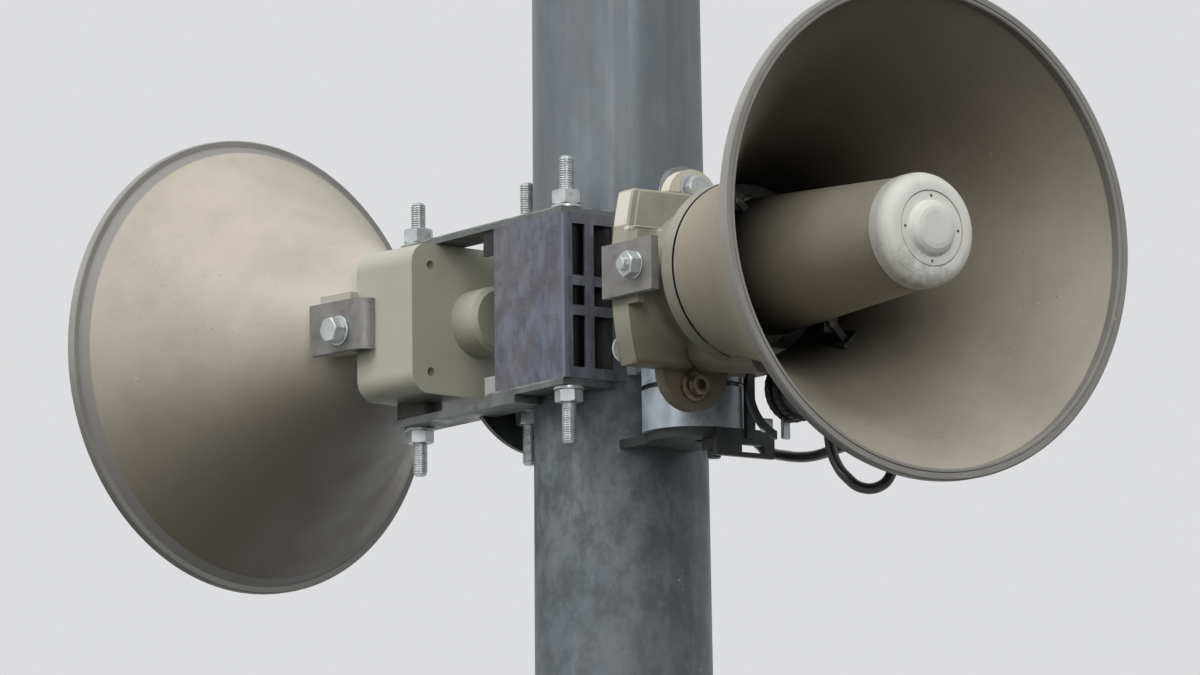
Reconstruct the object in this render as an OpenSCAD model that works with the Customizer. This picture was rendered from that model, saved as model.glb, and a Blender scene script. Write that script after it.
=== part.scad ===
// Galvanised mast with a pair of reflex horn loudspeakers, clamped back to back.
// Millimetres. +Z is up, +X is the way the fixed horn faces, -Y is the front of the bracket.
// The origin is on the mast's axis, at the underside of its base flange.

/* [Mast] */
// Height of the mast, from the underside of the flange to the end of the tube
mast_h = 3980; // [3200:10:6000]
// Outside diameter of the tapered tube at the flange
mast_base_d = 150; // [130:1:220]
// Outside diameter of the tapered tube at its top
mast_top_d = 103; // [76:0.1:125]
// Wall of the tube
mast_wall = 4; // [3:0.5:8]
// Height of the domed part of the top cap
cap_h = 20; // [10:1:60]
// Depth of the cap's skirt over the tube
cap_skirt = 35; // [15:1:60]
// Thickness of the cap
cap_wall = 3; // [2:0.5:5]

/* [Base] */
// Side of the square base flange
flange_w = 300; // [260:5:400]
// Thickness of the base flange
flange_t = 20; // [12:1:35]
// Distance between anchor holes, along each side
anchor_pitch = 225; // [200:5:300]
// Diameter of an anchor hole
anchor_d = 22; // [14:1:30]
// Radius of the flange's corners
flange_corner_r = 20; // [5:1:35]
// Height of a gusset
gusset_h = 110; // [60:5:200]
// Thickness of a gusset
gusset_t = 10; // [6:1:16]

/* [Horn] */
// Height of the horns' axes above the origin
axis_z = 3100; // [2600:10:3500]
// Distance of the horns' axes in front of the mast's axis
axis_front = 46; // [30:1:60]
// Outside radius of the mouth
mouth_r = 156; // [145:1:175]
// Length of the bell, from its mouth to the collar
bell_l = 188; // [160:1:230]
// Outside radius of the fixed horn's bell at the collar
throat_r = 57.5; // [52:0.5:60]
// Outside radius of the panned horn's bell at its housing
pan_throat_r = 48; // [44:0.5:48.5]
// How late the bell flares: 1 is a cone
flare = 1.4; // [1.2:0.1:2]
// Thickness of the bell
bell_wall = 2; // [1.5:0.5:4]
// Depth of the rim
rim_l = 7; // [5:0.5:14]
// Radial thickness of the rim
rim_t = 7.5; // [7:0.5:9]
// How far the rim stands out over the outside of the bell
rim_lip = 4.5; // [2:0.5:4.5]

/* [Reflector] */
// How far the reflector's nose stands out of the mouth
nose_out = 1.5; // [0:0.5:30]
// Radius of the nose cap
nose_r = 36; // [34:1:42]
// Length of the nose cap
nose_l = 17; // [14:1:40]
// Radius of the nose cap's front edge
nose_edge_r = 9.5; // [5:0.5:9.5]
// Radius of the round plate let into the nose cap
plug_r = 23.2; // [20:0.1:23.5]
// Radius of the dome on that plate
dome_r = 17.3; // [12:0.1:19]
// Height of the dome
dome_h = 5; // [3:0.5:9]
// Radius of the reflector at its open rear end
reflector_r = 44; // [40:1:46]
// Distance between the reflector's open end and the bell's throat
reflector_gap = 20; // [14:1:40]
// Thickness of the reflector
reflector_wall = 2; // [1.5:0.5:4]
// Thickness of a leg that carries the reflector
leg_w = 5; // [3:0.5:10]
// Width of a leg's foot on the bell
leg_foot_w = 14; // [10:1:20]
// Outside radius of the inner tube, which leads the sound from the driver into the reflector
throat_tube_r = 17; // [12:0.5:20]
// Distance of that tube's open end behind the nose cap
throat_tube_gap = 55; // [30:1:90]

/* [Housings] */
// Half the width of the fixed horn's casting, at its widest
housing_half_w = 58.5; // [57:0.5:60]
// Half the height of that casting
housing_half_h = 56; // [52:0.5:57]
// How much narrower the casting is at its top than at its middle
housing_bulge = 7; // [3:0.5:9]
// Radius of the casting's corners
housing_corner_r = 6; // [4:0.5:9]
// Thickness of the fixed horn's cast back plate
back_plate_t = 17; // [14:1:30]
// Height of the raised pad on that plate's front
pad_t = 3; // [2:0.5:4]
// Length of the neck between that plate and the bell
neck_l = 52; // [46:1:80]
// Radius of the neck at its waist
neck_r = 44; // [36:1:46]
// Width of the collar at the bell end of the neck
collar_l = 15; // [12:1:18]
// Distance of a fixing lug's bolt from the horn's axis
lug_off = 63.5; // [62:0.5:66]
// Radius of the upper lug
lug_top_r = 19.5; // [16:0.5:20]
// Radius of the lower lug
lug_low_r = 25.5; // [22:0.5:26]
// Thickness of the lugs
lug_t = 9; // [6:1:12]
// Diameter of the hole through a lug
lug_hole_d = 9; // [6:0.5:12]
// Half the width of the panned housing
pan_half_w = 56; // [52:0.5:58]
// Half the height of the panned housing, which sits between the strips
pan_half_h = 50.2; // [49.8:0.1:50.4]
// Radius of the panned housing's corners
pan_corner_r = 14; // [8:1:18]
// Depth of the panned housing along the horn
pan_depth = 57; // [50:1:66]
// Distance of that housing's front face from the pan rod, towards the mouth
pan_front = 19; // [17:1:25]
// Distance of the panned horn's mouth from the pan rod
pan_reach = 204; // [195:1:206]
// Height of the panned horn's axis above the fixed horn's
pan_up = 8; // [7:0.5:8]
// Length of the ring between the panned housing and its bell
pan_neck_l = 6; // [5:1:12]
// Radius of the round cover on its back
cover_r = 22.5; // [16:0.5:26]
// Length of that cover
cover_l = 24; // [10:1:25]
// Radius of the bosses that the pan rod passes through
boss_r = 15; // [12:0.5:16]

/* [Cleats] */
// Length of a side cleat
cleat_l = 54; // [48:1:60]
// Height of a side cleat
cleat_h = 34; // [24:1:40]
// Thickness of a side cleat
cleat_t = 5.5; // [4:0.5:6.5]
// Height of the fixed horn's cleats above its axis
cleat_up = 3; // [0:0.5:6]
// Outside radius of the bend at the rear end of the panned horn's cleats
cleat_bend_r = 12; // [10:0.5:14]

/* [Bracket] */
// Length of the ribbed block
block_l = 80; // [70:1:90]
// Middle of the block along X
block_mid = 8.5; // [0:0.5:14]
// Distance of the block's front face in front of the mast's axis
block_front = 78; // [72:1:90]
// Nominal depth of the block, front to back
block_w = 60; // [50:1:64]
// Height of the block
block_h = 108; // [108:1:120]
// How far the block's middle stands above the horns' axes
block_up = 4.5; // [4:0.5:5]
// Width of a rib
rib_w = 7; // [4:0.5:9]
// Thickness of the top strip and the bottom plate
strip_t = 4.5; // [3:0.5:8]
// Thickness of the lower strip
low_strip_t = 5; // [3:0.5:8]
// Width of the strips where they reach out to the panned horn
strip_w = 28; // [24:1:36]
// Diameter of the threaded rods
rod_d = 10; // [8:1:12]
// Direction of the rear rod from the mast's axis
rear_rod_a = 206.5; // [203:0.1:210]
// Distance of the pan rod from the mast's axis, along X
pan_x = -140; // [-150:1:-136]
// How far the block's rods stand out above the upper nuts
rod_head = 24; // [10:1:40]
// How far the pan rod stands out above its upper nut
pan_rod_head = 19; // [10:1:40]
// Thickness of the half-round cheek under the bottom plate
cheek_t = 4; // [3:0.5:6]
// Radius of that cheek
cheek_r = 64; // [60:1:66]
// Angle by which the panned horn stands turned at rest
pan_rest = 6; // [0:1:12]

/* [Fixed horn support] */
// Outside radius of the upright tube that carries the fixed horn
tube_r = 34; // [28:1:38]
// Wall of that tube
tube_wall = 4; // [2:0.5:6]
// How far the tube reaches below the horn's axis
tube_low = 87.5; // [75:0.5:110]
// How far the tube reaches above the horn's axis
tube_high = 56; // [40:1:70]
// Distance of the tube's axis behind the horn's axis
tube_back = 36; // [30:1:40]
// Gap between that tube and the mast
tube_gap = 5.5; // [4.5:0.5:12]
// Thickness of the mounting plate between tube and housing
mount_t = 8; // [5:0.5:12]
// Thickness of the foot plate under the tube
foot_t = 6; // [4:0.5:10]

/* [Cable] */
// Diameter of the cable
cable_d = 7; // [5:0.5:9]

/* [Hidden] */

$fn = 96;
cut = 1;

galvanised = [0.48, 0.51, 0.52];
zinc = [0.68, 0.7, 0.72];
beige = [0.62, 0.6, 0.52];
bell_beige = [0.66, 0.63, 0.57];
off_white = [0.86, 0.85, 0.82];
dark_mould = [0.3, 0.3, 0.33];
rim_grey = [0.45, 0.45, 0.45];
black = [0.08, 0.08, 0.08];

tube_len = mast_h - flange_t;
function mast_r(z) = mast_base_d / 2 + (mast_top_d - mast_base_d) / 2 * (z - flange_t) / tube_len;

// The bracket's levels
block_low = axis_z + block_up - block_h / 2;
block_top = block_low + block_h;
strip_top = block_top + strip_t;
plate_low = block_low - strip_t;
strip_low = plate_low - low_strip_t;
block_x0 = block_mid - block_l / 2;
block_x1 = block_mid + block_l / 2;
strip_y = -block_front + strip_w / 2;
washer_t = 2;
washer_r = rod_d;
nut_af = 1.6 * rod_d;
nut_h = 0.84 * rod_d;
rod_low = axis_z - 91;
rod_r = rod_d / 2;
run_gap = 0.05;
front_rod_x = block_x1 - 12;
front_rod_y = -block_front + 11;
rear_rod_off = mast_r(rod_low) + washer_r + 0.8;
rear_rod_x = rear_rod_off * cos(rear_rod_a);
rear_rod_y = rear_rod_off * sin(rear_rod_a);
pan_y = strip_y;

// The fixed horn's planes along X
tube_x = mast_r(axis_z) + tube_gap + tube_r;
mount_x = tube_x + tube_r;
plate_x = mount_x + mount_t;
neck_x = plate_x + back_plate_t;
fixed_mouth_x = neck_x + neck_l + bell_l;
tube_y = -axis_front + tube_back;

// The panned horn's planes, measured from the pan rod towards the mouth
pan_bell_l = pan_reach - pan_front - pan_neck_l;
pan_front_x = pan_x - pan_front;

bell_edge_r = mouth_r - rim_lip;
bell_steps = 24;
function bell_r(back, l, throat) =
    throat + (bell_edge_r - throat) * pow(max(0, 1 - (back - rim_l) / (l - rim_l)), flare);
function bell_points(l, throat, inset = 0) = [
    for (i = [0 : bell_steps])
        let (back = rim_l + (l - rim_l) * i / bell_steps)
            [bell_r(back, l, throat) - inset, -back]
];

// Places the axis of a horn: its mouth's middle at the origin, looking along +Z
module fixed_axis() {
    translate([fixed_mouth_x, -axis_front, axis_z]) rotate([0, 90, 0]) children();
}

module pan_turn() {
    translate([pan_x, pan_y, 0]) rotate([0, 0, pan_rest]) translate([-pan_x, -pan_y, 0]) children();
}

module pan_axis() {
    pan_turn() translate([pan_x - pan_reach, -axis_front, axis_z + pan_up]) rotate([0, -90, 0]) children();
}

// Square plate with rounded corners, lying in XY
module rounded_rect(w, h, r) {
    for (x = [-1, 1]) for (y = [-1, 1]) translate([x * (w / 2 - r), y * (h / 2 - r)]) circle(r);
    square([w - 2 * r, h], center = true);
    square([w, h - 2 * r], center = true);
}

module mast_solid(z0, z1, extra) {
    translate([0, 0, z0]) cylinder(h = z1 - z0, r1 = mast_r(z0) + extra, r2 = mast_r(z1) + extra);
}

module hex(h) {
    cylinder(h = h, r = nut_af / sqrt(3), $fn = 6);
}

// Base

module base_flange() {
    color(galvanised) linear_extrude(flange_t) difference() {
        rounded_rect(flange_w, flange_w, flange_corner_r);
        for (x = [-1, 1]) for (y = [-1, 1]) translate([x, y] * anchor_pitch / 2) circle(d = anchor_d);
    }
}

module base_gussets() {
    reach = flange_w / 2 - 10;
    color(galvanised) difference() {
        for (a = [0 : 90 : 270]) rotate([0, 0, a]) translate([0, gusset_t / 2, flange_t]) rotate([90, 0, 0])
            linear_extrude(gusset_t) polygon([
                [mast_base_d / 4, 0], [reach, 0], [reach, 12],
                [mast_r(flange_t + gusset_h) + 8, gusset_h], [mast_base_d / 4, gusset_h]
            ]);
        mast_solid(flange_t, flange_t + gusset_h + cut, 0);
    }
}

// Mast

module pole_shaft() {
    color(galvanised) difference() {
        mast_solid(flange_t, mast_h, 0);
        mast_solid(flange_t, mast_h, -mast_wall);
    }
}

module pole_cap() {
    rim_r = mast_r(mast_h - cap_skirt);
    color(galvanised) translate([0, 0, mast_h]) difference() {
        union() {
            translate([0, 0, -cap_skirt]) cylinder(h = cap_skirt, r = rim_r + cap_wall);
            cylinder(h = cap_h, r1 = rim_r + cap_wall, r2 = rim_r * 0.45);
        }
        translate([0, 0, -mast_h]) mast_solid(mast_h - cap_skirt - cut, mast_h, 0);
    }
}

module pole_grommet() {
    color(black) difference() {
        translate([0, 0, grommet_z]) rotate([0, 0, grommet_a]) rotate([0, 90, 0]) difference() {
            union() {
                cylinder(h = mast_r(grommet_z) + 4, r = 10);
                cylinder(h = grommet_end, r = 7);
            }
        }
        mast_solid(grommet_z - 40, grommet_z + 40, 0);
    }
}

// Straps round the back of the mast, from one side of the block to the other
module strap(z0, z1) {
    inner = mast_r(z0);
    first = 0.4 - acos(block_x1 / inner);
    last = 179.6 + acos(-block_x0 / inner);
    color(zinc) translate([0, 0, z0]) rotate([0, 0, first])
        rotate_extrude(angle = last - first) translate([inner, 0]) square([strap_t, z1 - z0]);
}

module strap_upper() {
    strap(axis_z + 22, axis_z + 47);
}

module strap_lower() {
    strap(axis_z - 45, axis_z - 20);
}

strap_t = 2.5;

// Bracket

module block_pockets() {
    z_mid = axis_z + block_up;
    bar = rib_w;
    levels = [
        [block_low + 7, z_mid - 13], [z_mid - 6.5, z_mid + 6.5], [z_mid + 13, block_top - 7]
    ];
    rows = [
        [-block_front + 6.5, 10], [-block_front + 6.5 + 10 + bar, 15], [-block_front + 31.5 + 2 * bar, 9]
    ];
    for (lv = levels) for (row = rows)
        translate([block_x0 + 9, row[0], lv[0]]) cube([block_l, row[1], lv[1] - lv[0]]);
}

module saddle_block() {
    color(dark_mould) difference() {
        translate([block_x0, -block_front, block_low]) cube([block_l, block_w, block_h]);
        difference() {
            block_pockets();
            mast_solid(block_low - cut, block_top + cut, 4);
            translate([front_rod_x, front_rod_y, block_low]) cylinder(h = block_h, r = rod_r + 3.5);
        }
        mast_solid(block_low - cut, block_top + cut, 0);
        translate([front_rod_x, front_rod_y, block_low - cut])
            cylinder(h = block_h + 2 * cut, r = rod_r + 0.5);
    }
}

front_rod_at = [front_rod_x, front_rod_y];
rear_rod_at = [rear_rod_x, rear_rod_y];
pan_rod_at = [pan_x, pan_y];
plate_x0 = rear_rod_x - washer_r - 2;
plate_back = -block_front + block_w;

module rod_holes(places) {
    for (p = places) translate(p) circle(rod_r + 0.5);
}

// Plate over or under the block, from the rear rod to the block's other end
module block_plate(x1, front_x0, rear_y) {
    polygon([
        [front_x0, -block_front], [x1, -block_front], [x1, plate_back],
        [plate_x0, plate_back], [plate_x0, rear_y]
    ]);
}

// Tab folded out of a strip, against the block's end
module block_tab(z0) {
    translate([block_x0 - tab_w - tab_gap, -block_front + 3, z0]) cube([tab_w, 3, tab_w]);
}

tab_w = 16;
tab_gap = 0.3;
strip_end_x = 15;

module top_strip() {
    color(zinc) {
        translate([0, 0, block_top]) linear_extrude(strip_t) difference() {
            union() {
                block_plate(block_x1 - 3, block_x0, rear_rod_y - washer_r - 2);
                polygon([
                    [block_x0 + 1, -block_front], [block_x0 + 1, -block_front + strip_w],
                    [pan_x, pan_y + strip_end_r], [pan_x, pan_y - strip_end_r]
                ]);
                translate(pan_rod_at) circle(strip_end_r);
            }
            rod_holes([front_rod_at, rear_rod_at, pan_rod_at]);
            circle(mast_r(block_top) + 1);
        }
        block_tab(block_top - tab_w);
    }
}

strip_end_r = 12;

module bottom_plate() {
    color(zinc) translate([0, 0, plate_low]) linear_extrude(strip_t) difference() {
        block_plate(block_x1 - 3, block_x0 - 5, rear_rod_y - washer_r - 16);
        rod_holes([front_rod_at, rear_rod_at]);
        circle(mast_r(plate_low) + 1);
        translate([block_x0 - tab_gap - tab_w - 1, -block_front + 2.5]) square([tab_w + 1 + tab_gap, 4]);
    }
}

module bottom_strip() {
    x1 = block_x0 + 22;
    color(zinc) {
        translate([0, 0, strip_low]) linear_extrude(low_strip_t) difference() {
            translate([pan_x - strip_end_x, -block_front]) square([x1 - pan_x + strip_end_x, strip_w]);
            rod_holes([pan_rod_at]);
            circle(mast_r(strip_low) + 1);
        }
        translate([block_x0 - tab_gap - tab_w, -block_front + 3, plate_low]) cube([tab_w, 3, tab_w]);
    }
}

// Half-round cheek under the rear end of the bottom plate
module rear_cheek() {
    middle_y = -10;
    middle_z = axis_z - 18.7;
    band_w = 24;
    color(zinc) translate([plate_x0 - cheek_t, 0, 0]) intersection() {
        difference() {
            translate([0, middle_y, middle_z]) rotate([0, 90, 0]) cylinder(h = cheek_t, r = cheek_r);
            translate([-cut, middle_y, middle_z]) rotate([0, 90, 0])
                cylinder(h = cheek_t + 2 * cut, r = cheek_r - band_w);
        }
        union() {
            translate([0, -100, axis_z - 140]) cube([cheek_t, 200, strip_low - axis_z + 139.9]);
            translate([0, -block_front + strip_w + 0.2, strip_low - 1])
                cube([cheek_t, plate_back + block_front - strip_w, plate_low + strip_t - strip_low + 1]);
        }
    }
}

// A threaded rod with a nut and washer above the strips and another below
module clamp_rod(at, low, high, head) {
    color(zinc) translate([at[0], at[1], 0]) {
        translate([0, 0, rod_low])
            cylinder(h = high + washer_t + nut_h + head - rod_low, r = rod_r);
        translate([0, 0, high]) cylinder(h = washer_t, r = washer_r);
        translate([0, 0, high + washer_t]) hex(nut_h);
        translate([0, 0, low - washer_t]) cylinder(h = washer_t, r = washer_r);
        translate([0, 0, low - washer_t - nut_h]) hex(nut_h);
    }
}

module front_rod() {
    clamp_rod(front_rod_at, plate_low, strip_top, rod_head);
}

module rear_rod() {
    clamp_rod(rear_rod_at, plate_low, strip_top, rod_head);
}

module pan_rod() {
    clamp_rod(pan_rod_at, strip_low, strip_top, pan_rod_head);
}

// Support of the fixed horn

module standoff_saddle() {
    z0 = axis_z - 44;
    h = 90;
    color(galvanised) difference() {
        translate([40, tube_y - 16, z0]) cube([tube_x - 40, 32, h]);
        mast_solid(z0 - cut, z0 + h + cut, strap_t + 0.4);
        translate([tube_x, tube_y, z0 - cut]) cylinder(h = h + 2 * cut, r = tube_r);
    }
}

module support_tube() {
    groove_z = axis_z - 60;
    color(zinc) difference() {
        translate([tube_x, tube_y, axis_z - tube_low]) cylinder(h = tube_low + tube_high, r = tube_r);
        translate([tube_x, tube_y, axis_z - tube_low - cut])
            cylinder(h = tube_low + tube_high + 2 * cut, r = tube_r - tube_wall);
        translate([tube_x, tube_y, groove_z]) difference() {
            cylinder(h = 2.5, r = tube_r + cut);
            cylinder(h = 2.5, r = tube_r - 1.5);
        }
    }
}

// Foot under the tube: a plate that reaches back to the mast, with a slotted flange at its front
module bracket_foot() {
    z0 = axis_z - tube_low - foot_t;
    flange_x = tube_x + tube_r - 6;
    flange_w = 46;
    flange_drop = 12;
    plate_w = 48;
    wall = 4;
    color(galvanised) difference() {
        union() {
            translate([0, 0, z0]) linear_extrude(foot_t) {
                translate([tube_x, tube_y]) circle(tube_r - 3);
                translate([30, tube_y - plate_w / 2]) square([tube_x - 30, plate_w]);
                translate([tube_x, tube_y - 6]) square([flange_x - tube_x, 34]);
            }
            translate([flange_x, tube_y - 6, z0 - flange_drop]) cube([wall, flange_w, flange_drop + foot_t]);
        }
        translate([tube_x + 8, tube_y, z0 - cut]) cylinder(h = foot_t + 2 * cut, r = 5);
        translate([flange_x - cut, tube_y + 14, z0 - 9]) cube([wall + 2 * cut, 18, 5]);
        mast_solid(z0 - 14, z0 + foot_t + cut, 0);
    }
}

module mount_plate() {
    end_r = 14;
    hold = 28;
    color(zinc) translate([mount_x, -axis_front, axis_z]) rotate([90, 0, 90]) linear_extrude(mount_t)
    difference() {
        union() {
            for (s = [-1, 1]) translate([0, s * lug_off]) circle(end_r);
            translate([-end_r, -lug_off]) square([2 * end_r, 2 * lug_off]);
            translate([-end_r, -hold]) square([tube_back + end_r + 12, 2 * hold]);
        }
        for (s = [-1, 1]) translate([0, s * lug_off]) circle(d = lug_hole_d);
    }
}

// Side of the casting: an arc that bulges by housing_bulge over its whole height
bulge_r = (pow(housing_half_h, 2) + pow(housing_bulge, 2)) / (2 * housing_bulge);

module casting_outline(half_w, half_h, r) {
    intersection() {
        rounded_rect(2 * half_w, 2 * half_h, r);
        translate([bulge_r - half_w, 0]) circle(bulge_r, $fn = 360);
        translate([half_w - bulge_r, 0]) circle(bulge_r, $fn = 360);
    }
}

module right_housing() {
    top_z = lug_off - 9;
    low_z = 7 - lug_off;
    color(beige) translate([plate_x, -axis_front, axis_z]) rotate([90, 0, 90]) {
        difference() {
            union() {
                linear_extrude(back_plate_t)
                    casting_outline(housing_half_w, housing_half_h, housing_corner_r);
                linear_extrude(lug_t) {
                    translate([0, top_z]) circle(lug_top_r);
                    translate([0, low_z]) circle(lug_low_r);
                }
                linear_extrude(back_plate_t + pad_t) intersection() {
                    casting_outline(housing_half_w - 3, housing_half_h - 2, housing_corner_r);
                    translate([-housing_half_w, pad_z]) square([2 * housing_half_w, housing_half_h]);
                }
            }
            for (s = [-1, 1]) translate([0, s * lug_off, -cut])
                cylinder(h = back_plate_t + pad_t + 2 * cut, d = lug_hole_d);
            translate([0, -lug_off, lug_t]) cylinder(h = back_plate_t, r = bolt_room);
            translate([0, lug_off, lug_t]) cylinder(h = back_plate_t, r = bolt_room);
        }
        for (s = [-1, 1]) translate([s * (housing_half_w - 2.5) - 2.5, -19, back_plate_t]) cube([5, 46, 12]);
    }
}

// Room round a lug's bolt head
bolt_room = 11;
// The pad's lower edge above the horn's axis
pad_z = 31;

module right_neck() {
    waist_l = 20;
    foot_r = 9;
    ring_l = neck_l - collar_l;
    keel_r = 14.5;
    keel_l = 68;
    keel_drop = 43;
    color(beige) difference() {
        union() {
            fixed_axis() translate([0, 0, -bell_l - neck_l]) rotate_extrude() polygon(concat(
                [[0, 0]],
                [for (a = [0 : 15 : 90]) [neck_r + foot_r * (1 - sin(a)), foot_r * (1 - cos(a))]],
                [
                    [neck_r, waist_l], [throat_r - 5, ring_l], [throat_r + 0.5, ring_l],
                    [throat_r + 0.5, ring_l + 11], [throat_r - 1, ring_l + 11],
                    [throat_r - 1, ring_l + 12.5], [throat_r, ring_l + 12.5], [throat_r, neck_l], [0, neck_l]
                ]
            ));
            translate([neck_x + 4, -axis_front, axis_z - keel_drop]) rotate([0, 99.5, 0])
                cylinder(h = keel_l, r = keel_r);
        }
        translate([neck_x - cut, -axis_front - housing_half_w, axis_z + pad_z])
            cube([pad_t + cut, 2 * housing_half_w, housing_half_h]);
        fixed_axis() translate([0, 0, -bell_l - 8]) cylinder(h = 9, r = throat_r - 8);
        fixed_axis() rotate_extrude() polygon(concat(
            [[0, 0]], bell_points(bell_l, throat_r, -0.05), [[0, -bell_l]]
        ));
    }
}

module left_neck() {
    color(beige) pan_axis() translate([0, 0, -pan_bell_l - pan_neck_l]) rotate_extrude() polygon([
        [0, 0], [pan_throat_r + 1.5, 0], [pan_throat_r + 1.5, 3], [pan_throat_r, 3],
        [pan_throat_r, pan_neck_l], [pan_throat_r - 8, pan_neck_l], [pan_throat_r - 8, 3], [0, 3]
    ]);
}

// Parts that both horns have, drawn with the mouth's middle at the origin, looking along +Z

module bell_shell(l, throat) {
    inner = bell_points(l, throat, bell_wall);
    color(bell_beige) rotate_extrude() polygon(concat(
        bell_points(l, throat), [for (i = [bell_steps : -1 : 0]) inner[i]]
    ));
}

// The rim: a thick ring with a fine groove in its front face
module rim_ring() {
    groove_r = mouth_r - 4.8;
    color(rim_grey) rotate_extrude() polygon([
        [mouth_r - rim_t, -rim_l], [mouth_r - 0.8, -rim_l], [mouth_r, -rim_l + 0.8],
        [mouth_r, -1], [mouth_r - 1, 0],
        [groove_r + 0.5, 0], [groove_r, -0.8], [groove_r - 0.5, 0],
        [mouth_r - rim_t + 0.8, 0], [mouth_r - rim_t, -0.8]
    ]);
}

nose_back = nose_l - nose_out;

module reflector_tube(l) {
    color(beige) rotate_extrude() polygon([
        [nose_r - 1, -nose_back], [nose_r - 1 - reflector_wall, -nose_back],
        [reflector_r - reflector_wall, reflector_gap - l], [reflector_r, reflector_gap - l]
    ]);
}

module nose_cap() {
    steps = 8;
    color(off_white) translate([0, 0, -nose_back]) rotate_extrude() polygon(concat(
        [[0, 0], [nose_r, 0]],
        [for (i = [0 : steps]) let (a = 90 * i / steps)
            [nose_r - nose_edge_r + nose_edge_r * cos(a), nose_l - nose_edge_r + nose_edge_r * sin(a)]],
        [[plug_r + 0.8, nose_l], [plug_r + 0.8, nose_l - 3], [0, nose_l - 3]]
    ));
}

module nose_plug() {
    color(off_white) translate([0, 0, nose_out - 3]) rotate_extrude() polygon([
        [0, 0], [plug_r, 0], [plug_r, 2.6], [dome_r + 0.6, 2.6], [dome_r, 3.4],
        [dome_r - 1.5, 3 + dome_h * 0.55], [dome_r - 4, 3 + dome_h * 0.9], [dome_r - 7, 3 + dome_h],
        [0, 3 + dome_h]
    ]);
}

// Four legs between the reflector's rear end and the bell, each with a foot against the bell
module spider(l, throat) {
    open_z = reflector_gap - l;
    leg_l = 18;
    leg_foot_t = 3;
    foot_face = bell_points(l, throat, bell_wall + leg_foot_t);
    slope = (nose_r - 1 - reflector_r) / (-nose_back - open_z);
    color(black) difference() {
        for (a = [45 : 90 : 315]) rotate([0, 0, a]) {
            translate([0, -leg_w / 2, open_z + 1]) cube([throat + 30, leg_w, leg_l]);
            intersection() {
                translate([reflector_r, -leg_foot_w / 2, open_z - 3]) cube([throat, leg_foot_w, 26]);
                rotate([0, 0, -a]) rotate_extrude() polygon(concat(
                    bell_points(l, throat, bell_wall), [for (i = [bell_steps : -1 : 0]) foot_face[i]]
                ));
            }
        }
        rotate_extrude() polygon([
            [0, open_z], [reflector_r, open_z], [reflector_r + slope * 40, open_z + 40], [0, open_z + 40]
        ]);
        rotate_extrude() polygon(concat(
            bell_points(l, throat, bell_wall), [[mouth_r + 50, -l], [mouth_r + 50, -rim_l]]
        ));
    }
}

// The inner tube that leads the sound from the driver into the closed end of the reflector
module throat_tube(from) {
    color(dark_mould) translate([0, 0, -from]) difference() {
        cylinder(h = from - nose_back - throat_tube_gap, r = throat_tube_r);
        translate([0, 0, 4]) cylinder(h = from, r = throat_tube_r - 2.5);
    }
}

module right_bell() { fixed_axis() bell_shell(bell_l, throat_r); }
module right_rim() { fixed_axis() rim_ring(); }
module right_throat_tube() { fixed_axis() throat_tube(bell_l + 8); }
module right_reflector() { fixed_axis() reflector_tube(bell_l); }
module right_nose_cap() { fixed_axis() nose_cap(); }
module right_nose_plug() { fixed_axis() nose_plug(); }
module right_spider() { fixed_axis() spider(bell_l, throat_r); }
module left_bell() { pan_axis() bell_shell(pan_bell_l, pan_throat_r); }
module left_rim() { pan_axis() rim_ring(); }
module left_throat_tube() { pan_axis() throat_tube(pan_bell_l + pan_neck_l - 3); }
module left_reflector() { pan_axis() reflector_tube(pan_bell_l); }
module left_nose_cap() { pan_axis() nose_cap(); }
module left_nose_plug() { pan_axis() nose_plug(); }
module left_spider() { pan_axis() spider(pan_bell_l, pan_throat_r); }

// The fixed horn's cleats are flat plates on the sides of its casting
module right_cleats() {
    color(zinc) for (s = [-1, 1]) translate([plate_x - 2.5, -axis_front, axis_z + cleat_up - cleat_h / 2])
        translate([0, s > 0 ? housing_half_w : -housing_half_w - cleat_t, 0])
            cube([cleat_l, cleat_t, cleat_h]);
}

// The panned horn's cleats stand off its housing and bend in at their rear end.
// Drawn with the bend's outside at x = 0 and the housing's side on y = 0.
module bent_cleat() {
    translate([0, -cleat_bend_r, 0]) {
        translate([cleat_bend_r, 0, 0]) cube([cleat_l - cleat_bend_r, cleat_t, cleat_h]);
        intersection() {
            translate([cleat_bend_r, cleat_bend_r, 0]) difference() {
                cylinder(h = cleat_h, r = cleat_bend_r);
                translate([0, 0, -cut]) cylinder(h = cleat_h + 2 * cut, r = cleat_bend_r - cleat_t);
            }
            cube([cleat_bend_r, cleat_bend_r, cleat_h]);
        }
    }
}

module left_cleats() {
    color(zinc) pan_turn()
        translate([pan_front_x + cleat_bend_r + 7, -axis_front, axis_z + pan_up - cleat_h / 2])
        for (s = [0, 1]) mirror([0, s, 0]) translate([0, -pan_half_w, 0]) mirror([1, 0, 0]) bent_cleat();
}

// Blocks on the panned housing's front that the cleats are bolted to
module ear_blocks() {
    ear_h = cleat_h + 6;
    gap = cleat_bend_r - cleat_t;
    ear_w = 10 + gap;
    for (s = [-1, 1])
        translate([
            pan_front_x - 30, -axis_front + s * (pan_half_w + gap) - (s > 0 ? ear_w : 0),
            axis_z + pan_up - cleat_h / 2
        ]) cube([31, ear_w, ear_h]);
}

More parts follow.
